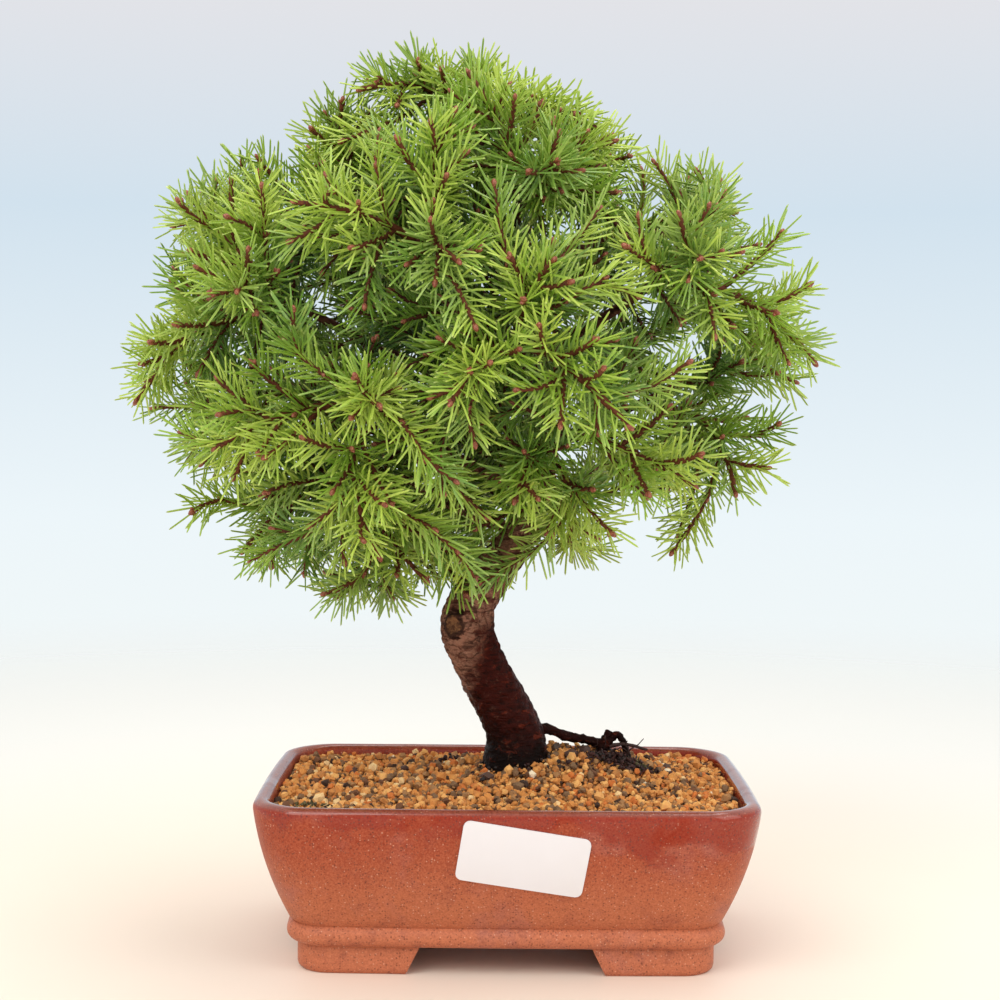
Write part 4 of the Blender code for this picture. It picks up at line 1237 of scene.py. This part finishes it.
def needle_finish(settings):
    """Waxy green needles: darker inside the crown, partly older needles and partly painted shade, paler
    towards their tips.
    """
    made = Finish("spruce_needles")
    tint, along = made.kept("tint"), made.kept("along")
    # Dark to light by how far out the twig's tip lies: older and fresher needles, and also painted shade
    # inside the crown and painted light on the outer shoots.
    green = made.ramp(tint, [(0.0, settings.shade), (0.55, settings.fresh), (1.0, settings.light)])
    patch = made.noise(24, detail=2)
    green = made.mix(made.step(patch, 0.48, 0.62) * 0.5, green, settings.blue)
    old = made.noise(95, detail=2)
    yellow = made.step(old, 0.62, 0.72) * made.step(tint, 0.75, 0.3)
    green = made.mix(yellow * 0.6, green, rgb(158, 146, 58))
    streak = made.noise(1400, detail=2)
    green = made.mix(made.step(streak, 0.4, 0.75) * 0.2, green, rgb(176, 192, 92))
    green = made.mix(made.step(along, 0.86, 1.0) * 0.45, green, rgb(198, 200, 124))
    green = made.mix(made.step(along, 0.05, 0.0) * 0.6, green, rgb(98, 62, 30))
    made.feed(base_color=green, roughness=0.32 + streak * 0.16)
    made.bump(streak, 0.05 * MM, 0.3)
    return made.material


def twig_finish(settings):
    """Reddish-brown twig bark with rough pegs and mottling, darker inside the crown as painted shade."""
    made = Finish("twig_bark")
    mottle = made.noise(900, detail=4, roughness=0.65)
    # Twigs deep in the crown get the darker brown: painted shade.
    colour = made.mix(made.kept("tint"), rgb(60, 32, 21), settings.twig)
    # Lighter and darker mottling, partly the bark's own tone and partly painted highlights and painted
    # shade.
    colour = made.mix(made.step(mottle, 0.58, 0.72) * 0.6, colour, rgb(158, 92, 60))
    colour = made.mix(made.step(mottle, 0.47, 0.36) * 0.65, colour, rgb(38, 17, 10))
    made.feed(base_color=colour, roughness=0.6 + mottle * 0.3, specular_ior_level=0.25)
    made.bump(mottle, 0.3 * MM, 0.8)
    return made.material


def bud_finish(settings):
    """Papery bud scales, reddish brown with dark edges."""
    made = Finish("bud_scales")
    mottle = made.noise(1300)
    scales = made.cells(1100, feature="DISTANCE_TO_EDGE")
    colour = made.mix(made.step(mottle, 0.42, 0.66), settings.bud, rgb(180, 114, 86))
    colour = made.mix(made.step(scales, 0.12, 0.02) * 0.6, colour, rgb(88, 44, 32))
    made.feed(base_color=colour, roughness=0.42 + mottle * 0.2)
    made.bump(scales, 0.25 * MM, 0.7)
    return made.material


def needle_shape(settings, bend):
    """A three-sided needle that stands on the origin and curves towards +X, with a blunt tip."""
    length, half = settings.needle_length, settings.needle_width / 2
    bm = blank()
    corners = [(1.15 * math.cos(turn), 1.15 * math.sin(turn)) for turn in NEEDLE_CORNERS]
    rings = []
    for share, wide in NEEDLE_STATIONS:
        middle = Vector((bend * length * share * share, 0, length * share))
        rings.append([middle + Vector((x * half * wide, y * half * wide, 0)) for x, y in corners])
    loft(bm, rings, [share for share, _ in NEEDLE_STATIONS])
    bmesh.ops.remove_doubles(bm, verts=bm.verts, dist=0.02 * MM)
    return Shape(bm, 0, smooth=False)


def bud_shape():
    """An ovoid bud one unit long that stands on the origin and ends in a blunt point."""
    bm = bmesh.new()
    bmesh.ops.create_uvsphere(bm, u_segments=6, v_segments=5, radius=0.5)
    for vert in bm.verts:
        share = vert.co.z + 0.5
        vert.co = Vector((vert.co.x * (1.05 - 0.35 * share), vert.co.y * (1.05 - 0.35 * share), share))
    return Shape(bm, 2)


def turned(point, heading, towards, scale):
    """A matrix that stands a shape on point, up along heading, with its +X side towards a direction."""
    side = (towards - heading * towards.dot(heading)).normalized()
    other = heading.cross(side)
    size = scale if isinstance(scale, tuple) else (scale, scale, scale)
    columns = [side * size[0], other * size[1], heading * size[2]]
    rows = [[columns[c][r] for c in range(3)] + [point[r]] for r in range(3)]
    return rows + [[0, 0, 0, 1]]


def inside_box(point):
    """Whether a point lies in the solids' box, so that no needle makes the object larger."""
    low, high = CAD_BOX
    return all(low[i] + 0.2 * MM < point[i] < high[i] - 0.2 * MM for i in range(3))


class Spray:
    """One spray being dressed: its twigs, buds and needles."""

    def __init__(self, shapes, settings, seed):
        self.shapes = shapes
        self.settings = settings
        self.draw = random.Random(seed)
        self.copies = Copies()
        self.needles = [([], []) for _ in shapes["needles"]]
        self.buds = ([], [])

    def twig(self, root, control, tip, base, end):
        """Adds a knobbly twig with needles all round and a bud at its tip, and gives its path."""
        draw = self.draw
        length = (tip - root).length
        # How far out the tip lies, which darkens needles and twigs inside the crown, partly as painted
        # shade.
        outer = depth_in_crown(tip) ** 2
        steps = max(4, round(length / RING_STEP))
        path = bow(root, control, tip, base, end, steps)
        bars = blank()
        loft(bars, tube_rings(path, TWIG_SIDES, 0.6, draw.uniform(0, 90)))
        self.copies.add(Shape(bars, 1), [Matrix.Identity(4)], [outer])
        stations = frames(path)
        turn = draw.uniform(0, ALL_ROUND)
        green = draw.uniform(-0.36, 0.22)
        left = length - 0.5 * MM
        while left > -0.3 * MM:
            past = length - left
            sparse = 1 + BARER * min(1.0, max(0.0, past / NEEDLED - 1))
            left -= self.settings.needle_step * sparse * draw.uniform(0.8, 1.2)
            share = min(max(1 - past / length, 0), 0.999)
            turn += GOLDEN_ANGLE
            at = share * (len(stations) - 1)
            low = int(at)
            point = stations[low][0].lerp(stations[low + 1][0], at - low)
            along, across = stations[low][1:]
            self.needle(point, along, across, turn, max(0.0, 1 - past / TIPWARD), end, outer + green)
        self.bud(tip, stations[-1][1], stations[-1][2], outer)
        return path

    def needle(self, point, along, across, turn, tipward, twig_radius, green):
        """A needle on a twig, shortened where it would leave the solids' box."""
        draw = self.draw
        lean = math.radians(LEAN - TIP_LEAN * tipward + draw.uniform(-LEAN_STRAY, LEAN_STRAY))
        outwards = Matrix.Rotation(turn + draw.uniform(-0.4, 0.4), 3, along) @ across
        heading = (along * math.cos(lean) + outwards * math.sin(lean) + UP * NEEDLE_RISE).normalized()
        scale = draw.uniform(0.70, 1.02) * (1 - TIP_SHORTER * tipward)
        for _ in range(TRIES):
            if inside_box(point + heading * self.settings.needle_length * scale * 1.03):
                break
            scale *= SHORTEN
        places, tints = self.needles[draw.randrange(len(self.needles))]
        places.append(turned(point + outwards * twig_radius * 0.5, heading, along, scale))
        tints.append(min(1.0, max(0.0, green + draw.uniform(-0.12, 0.12))))

    def bud(self, tip, along, across, outer):
        """The bud at a twig's end, often with smaller ones beside it."""
        draw = self.draw
        places, tints = self.buds
        size = draw.uniform(BUD_LEAST, BUD_MOST)
        places.append(turned(tip - along * 0.4 * MM, along, across, (size * 0.78, size * 0.78, size)))
        tints.append(outer)
        for _ in range(draw.choice(SIDE_BUDS)):
            side = Matrix.Rotation(draw.uniform(0, ALL_ROUND), 3, along) @ across
            heading = (along + side * 1.1).normalized()
            small = size * draw.uniform(0.6, 0.8)
            places.append(turned(tip - along * 0.6 * MM, heading, along, (small * 0.8, small * 0.8, small)))
            tints.append(outer)

    def mesh(self, name):
        """The spray's mesh, once all its twigs are there."""
        for shape, (places, tints) in zip(self.shapes["needles"], self.needles):
            self.copies.add(shape, places, tints)
        self.copies.add(self.shapes["bud"], *self.buds)
        return self.copies.mesh(name)


def depth_in_crown(point):
    """0 at the crown's centre, 1 at its outside."""
    outwards = point - CROWN_CENTRE
    return min(1.0, outwards.length / (crown_reach(outwards.normalized()) - TWIG_PAST))


class Growth:
    """Points on the twigs grown so far, each with its heading and its spray, and the tips."""

    def __init__(self, sprays):
        self.points, self.headings, self.tips = np.empty((0, 3)), np.empty((0, 3)), np.empty((0, 3))
        self.owners = np.empty(0, int)
        self.lengths = np.zeros(sprays)

    def add(self, path, owner):
        """Adds a twig's path to what the spray with the number owner has grown."""
        grown = frames(path)[1:]
        self.points = np.vstack([self.points, [point for point, _, _ in grown]])
        self.headings = np.vstack([self.headings, [along for _, along, _ in grown]])
        self.owners = np.append(self.owners, [owner] * len(grown))
        self.tips = np.vstack([self.tips, path[-1][0]])
        self.lengths[owner] += (path[-1][0] - path[0][0]).length

    def crowded(self, tip):
        """Whether another twig ends too near."""
        return np.linalg.norm(self.tips - np.array(tip), axis=1).min() < FILL_APART

    def shoot_to(self, tip):
        """Owner, root and control point of the best shoot that ends at tip, or None."""
        towards = np.array(tip) - self.points
        length = np.linalg.norm(towards, axis=1)
        agree = (towards * self.headings).sum(1) / np.maximum(length, 1e-6)
        centre = np.array(CROWN_CENTRE)
        outer = np.linalg.norm(np.array(tip) - centre) - np.linalg.norm(self.points - centre, axis=1)
        cost = length * (1.5 - agree) + TURNED_BACK * (agree < LEAST_AGREE)
        cost += TURNED_BACK * (outer < LEAST_OUTER)
        cost[(length < FILL_LEAST) | (length > FILL_MOST)] = 1
        if cost.min() > DEAREST:
            return None
        best = int((cost + FILL_EVENLY * self.lengths[self.owners]).argmin())
        root, heading = Vector(self.points[best]), Vector(self.headings[best])
        leaving = (heading + (tip - root).normalized() * 0.9).normalized()
        return int(self.owners[best]), root, root + leaving * (tip - root).length * 0.42


def sphere_directions(number, draw):
    """Directions spread evenly over a sphere, in a random order."""
    found = [on_sphere(i, number, i * GOLDEN_ANGLE) for i in range(number)]
    draw.shuffle(found)
    return found


def dress(sprays, plans):
    """Gives the sprays their axes and side shoots, then more shoots wherever the crown is bare."""
    growth = Growth(len(sprays))
    for index, (spray, plan) in enumerate(zip(sprays, plans)):
        growth.add(spray.twig(*plan["axis"], TWIG_BASE, TWIG_TIP), index)
        for shoot in plan["shoots"]:
            growth.add(spray.twig(*shoot, SHOOT_RADIUS, SHOOT_RADIUS * 0.9), index)
    draw = random.Random(FINE_SEED)
    for share, number in FILL_LAYERS:
        for direction in sphere_directions(number, draw):
            short = draw.uniform(1 - FILL_RAGGED, 1.0)
            thin = draw.random() < THINNED and direction.x > THIN_SIDE
            past = FILL_PAST if direction.z > UNDERSIDE_RISE else LOW_PAST
            tip = CROWN_CENTRE + direction * (crown_reach(direction) - past) * share * short
            found = None if thin or growth.crowded(tip) else growth.shoot_to(tip)
            if found:
                owner, root, control = found
                growth.add(sprays[owner].twig(root, control, tip, FILL_RADIUS, FILL_RADIUS * 0.9), owner)


class BONSAI_OT_foliage(bpy.types.Operator):
    """Add every spray of twigs, needles and buds"""

    bl_idname = "bonsai.foliage"
    bl_label = "Foliage"

    def execute(self, context):
        settings = context.scene.bonsai_foliage
        finishes = needle_finish(settings), twig_finish(settings), bud_finish(settings)
        shapes = {"needles": [needle_shape(settings, bend) for bend in NEEDLE_BENDS], "bud": bud_shape()}
        _, plans = branch_plan()
        sprays = [Spray(shapes, settings, FINE_SEED + 1 + index) for index in range(len(plans))]
        dress(sprays, plans)
        for index, spray in enumerate(sprays):
            mesh = spray.mesh(f"foliage_{index:02d}")
            piece(f"foliage_{index:02d}", mesh, "needles", *finishes, replaces=[f"spray_{index:02d}"])
        return {"FINISHED"}


# Label

LABEL_OFF_WALL = 0.15 * MM


def paper(settings):
    """Coated paper, faintly mottled."""
    made = Finish("label_paper")
    fibre = made.noise(1200)
    soft = made.noise(60, detail=2)
    colour = made.mix(soft * 0.5, settings.paper, rgb(221, 216, 213))
    made.feed(base_color=colour, roughness=0.38 + fibre * 0.14)
    made.bump(fibre, 0.02 * MM, 0.5)
    return made.material


class BONSAI_OT_label(bpy.types.Operator):
    """Add the blank label that follows the front wall"""

    bl_idname = "bonsai.label"
    bl_label = "Label"

    def execute(self, context):
        settings = context.scene.bonsai_label
        bm = bmesh.new()
        bmesh.ops.create_grid(bm, x_segments=40, y_segments=20, size=1)
        turn = Matrix.Rotation(LABEL_TILT, 2)
        for vert in bm.verts:
            flat = turn @ rounded(vert.co.x, vert.co.y, LABEL_HALF, LABEL_CORNER) + LABEL_AT
            inset = wall_inset(flat.y)
            wall = plan_point(flat.x / (POT_HALF_WIDTH - inset), -1, inset)
            vert.co = Vector((POT_CENTRE.x + flat.x, wall.y - LABEL_OFF_WALL, flat.y))
        bmesh.ops.recalc_face_normals(bm, faces=bm.faces)
        bmesh.ops.solidify(bm, geom=bm.faces[:], thickness=LABEL_THICKNESS)
        mesh = mesh_of(bm, "label_blank")
        mesh.set_sharp_from_angle(angle=math.radians(40))
        piece("label_blank", mesh, "paper", paper(settings), replaces=["label"])
        return {"FINISHED"}


# Stage

CAMERA_SIDE = -3.6 * MM  # from the pot's middle
CAMERA_DOWN = math.radians(2.78)
CAMERA_ROLL = math.radians(0.55)
FLOOR_RADIUS = 1.8
FLOOR_FADE = (0.30, 1.15)  # distance from the pot where the floor begins to fade and where it is gone
HORIZON = (-0.25, 0.30)  # rise of the lowest and the highest shade of the background
LIGHTS = (  # name, place, target, size, power and colour
    ("key", (-0.55, -0.85, 1.0), (0, 0, 0.18), 0.9, 9.0, (1.0, 0.99, 0.97)),
    ("fill", (0.9, -0.6, 0.7), (0, 0, 0.15), 0.9, 5.0, (0.97, 0.99, 1.0)),
    ("top", (0.1, 0.2, 1.3), (0, 0, 0.2), 0.8, 6.0, (1.0, 1.0, 1.0)),
)


def area_light(name, place, target, size, power, colour):
    """A soft square light that shines from place to target."""
    light = bpy.data.lights.new(name, "AREA")
    light.size, light.energy, light.color = size, power, colour
    lamp = bpy.data.objects.new(name, light)
    bpy.context.scene.collection.objects.link(lamp)
    lamp.location = place
    lamp.rotation_euler = (Vector(target) - Vector(place)).to_track_quat("-Z", "Y").to_euler()


def floor_finish(settings):
    """Pale floor that fades out into the background far from the pot."""
    made = Finish("floor_pale")
    far = made.node("VectorMath", {"operation": "LENGTH"}, {0: made.place}, "Value")
    mottle = made.noise(6)
    warm = made.mix(mottle * 0.5, settings.floor, rgb(236, 222, 203))
    colour = made.mix(made.step(far, 0.15, 0.5), warm, settings.far_floor)
    made.feed(base_color=colour, roughness=0.5 + mottle * 0.1)
    clear = made.node("BsdfTransparent")
    shown = Value(made, made.shader.outputs["BSDF"])
    faded = made.node("MixShader", None, {0: made.step(far, *FLOOR_FADE), 1: shown, 2: clear})
    made.plug(made.tree.nodes["Material Output"].inputs["Surface"], faded)
    return made.material


def floor_disc(settings):
    """The floor, a hair's breadth under the feet."""
    bm = bmesh.new()
    bmesh.ops.create_circle(bm, cap_ends=True, segments=64, radius=FLOOR_RADIUS)
    bmesh.ops.translate(bm, vec=(0, 0, -0.05 * MM), verts=bm.verts)
    mesh = mesh_of(bm, "floor")
    mesh.materials.append(floor_finish(settings))
    floor = bpy.data.objects.new("floor", mesh)
    bpy.context.scene.collection.objects.link(floor)
    return floor


def background(settings):
    """A sky of pale shades, bluest a little above the horizon."""
    world = bpy.data.worlds.new("studio")
    world.use_nodes = True
    sky = Nodes(world.node_tree)
    rise = sky.axis(sky.node("TexCoord", output="Generated"), "Z")
    level = sky.node("MapRange", None, {"Value": rise, "From Min": HORIZON[0], "From Max": HORIZON[1]})
    shades = [(0.0, settings.low), (0.35, rgb(237, 246, 250)), (0.65, settings.high),
              (1.0, rgb(238, 228, 227))]
    sky.plug(sky.tree.nodes["Background"].inputs["Color"], sky.ramp(level, shades))
    return world


def camera(settings):
    """A camera in front of the pot, where the photograph's was."""
    lens = bpy.data.cameras.new("camera")
    lens.sensor_width, lens.lens = 36, settings.focal_length
    lens.clip_start, lens.clip_end = 0.01, 20
    made = bpy.data.objects.new("camera", lens)
    bpy.context.scene.collection.objects.link(made)
    made.location = POT_CENTRE + Vector((CAMERA_SIDE, -settings.camera_distance, settings.camera_height))
    level = Matrix.Rotation(math.pi / 2 - CAMERA_DOWN, 3, "X")
    made.rotation_euler = (level @ Matrix.Rotation(CAMERA_ROLL, 3, "Z")).to_euler()
    return made


class BONSAI_OT_stage(bpy.types.Operator):
    """Add the floor, the background, the lights and the camera"""

    bl_idname = "bonsai.stage"
    bl_label = "Stage"

    def execute(self, context):
        settings = context.scene.bonsai_stage
        floor = floor_disc(settings)
        context.scene.world = background(settings)
        for light in LIGHTS:
            area_light(*light)
        context.scene.camera = camera(settings)
        context.scene.view_settings.view_transform = "Standard"
        return {"FINISHED"}


SETTINGS = (("pot", PotSettings), ("soil", SoilSettings), ("tree", TreeSettings),
            ("foliage", FoliageSettings), ("label", LabelSettings), ("stage", StageSettings))
OPERATORS = (BONSAI_OT_pot, BONSAI_OT_screens, BONSAI_OT_soil, BONSAI_OT_litter, BONSAI_OT_tree,
             BONSAI_OT_foliage, BONSAI_OT_label, BONSAI_OT_stage)


class VIEW3D_PT_bonsai(bpy.types.Panel):
    """The operators and the values that they use"""

    bl_label = "Potted spruce bonsai"
    bl_space_type = "VIEW_3D"
    bl_region_type = "UI"
    bl_category = "Bonsai"

    def draw(self, context):
        for operator in OPERATORS:
            self.layout.operator(operator.bl_idname)
        for key, group in SETTINGS:
            box = self.layout.box()
            box.label(text=key.title())
            for name in group.__annotations__:
                box.prop(getattr(context.scene, f"bonsai_{key}"), name)


def register():
    for key, group in SETTINGS:
        bpy.utils.register_class(group)
        setattr(bpy.types.Scene, f"bonsai_{key}", bpy.props.PointerProperty(type=group))
    for made in (*OPERATORS, VIEW3D_PT_bonsai):
        bpy.utils.register_class(made)


def unregister():
    for made in (VIEW3D_PT_bonsai, *reversed(OPERATORS)):
        bpy.utils.unregister_class(made)
    for key, group in SETTINGS:
        delattr(bpy.types.Scene, f"bonsai_{key}")
        bpy.utils.unregister_class(group)


def main():
    register()
    bpy.ops.bonsai.pot()
    bpy.ops.bonsai.screens()
    bpy.ops.bonsai.soil()
    bpy.ops.bonsai.litter()
    bpy.ops.bonsai.tree()
    bpy.ops.bonsai.foliage()
    bpy.ops.bonsai.label()
    bpy.ops.bonsai.stage()


if __name__ == "__main__":
    main()
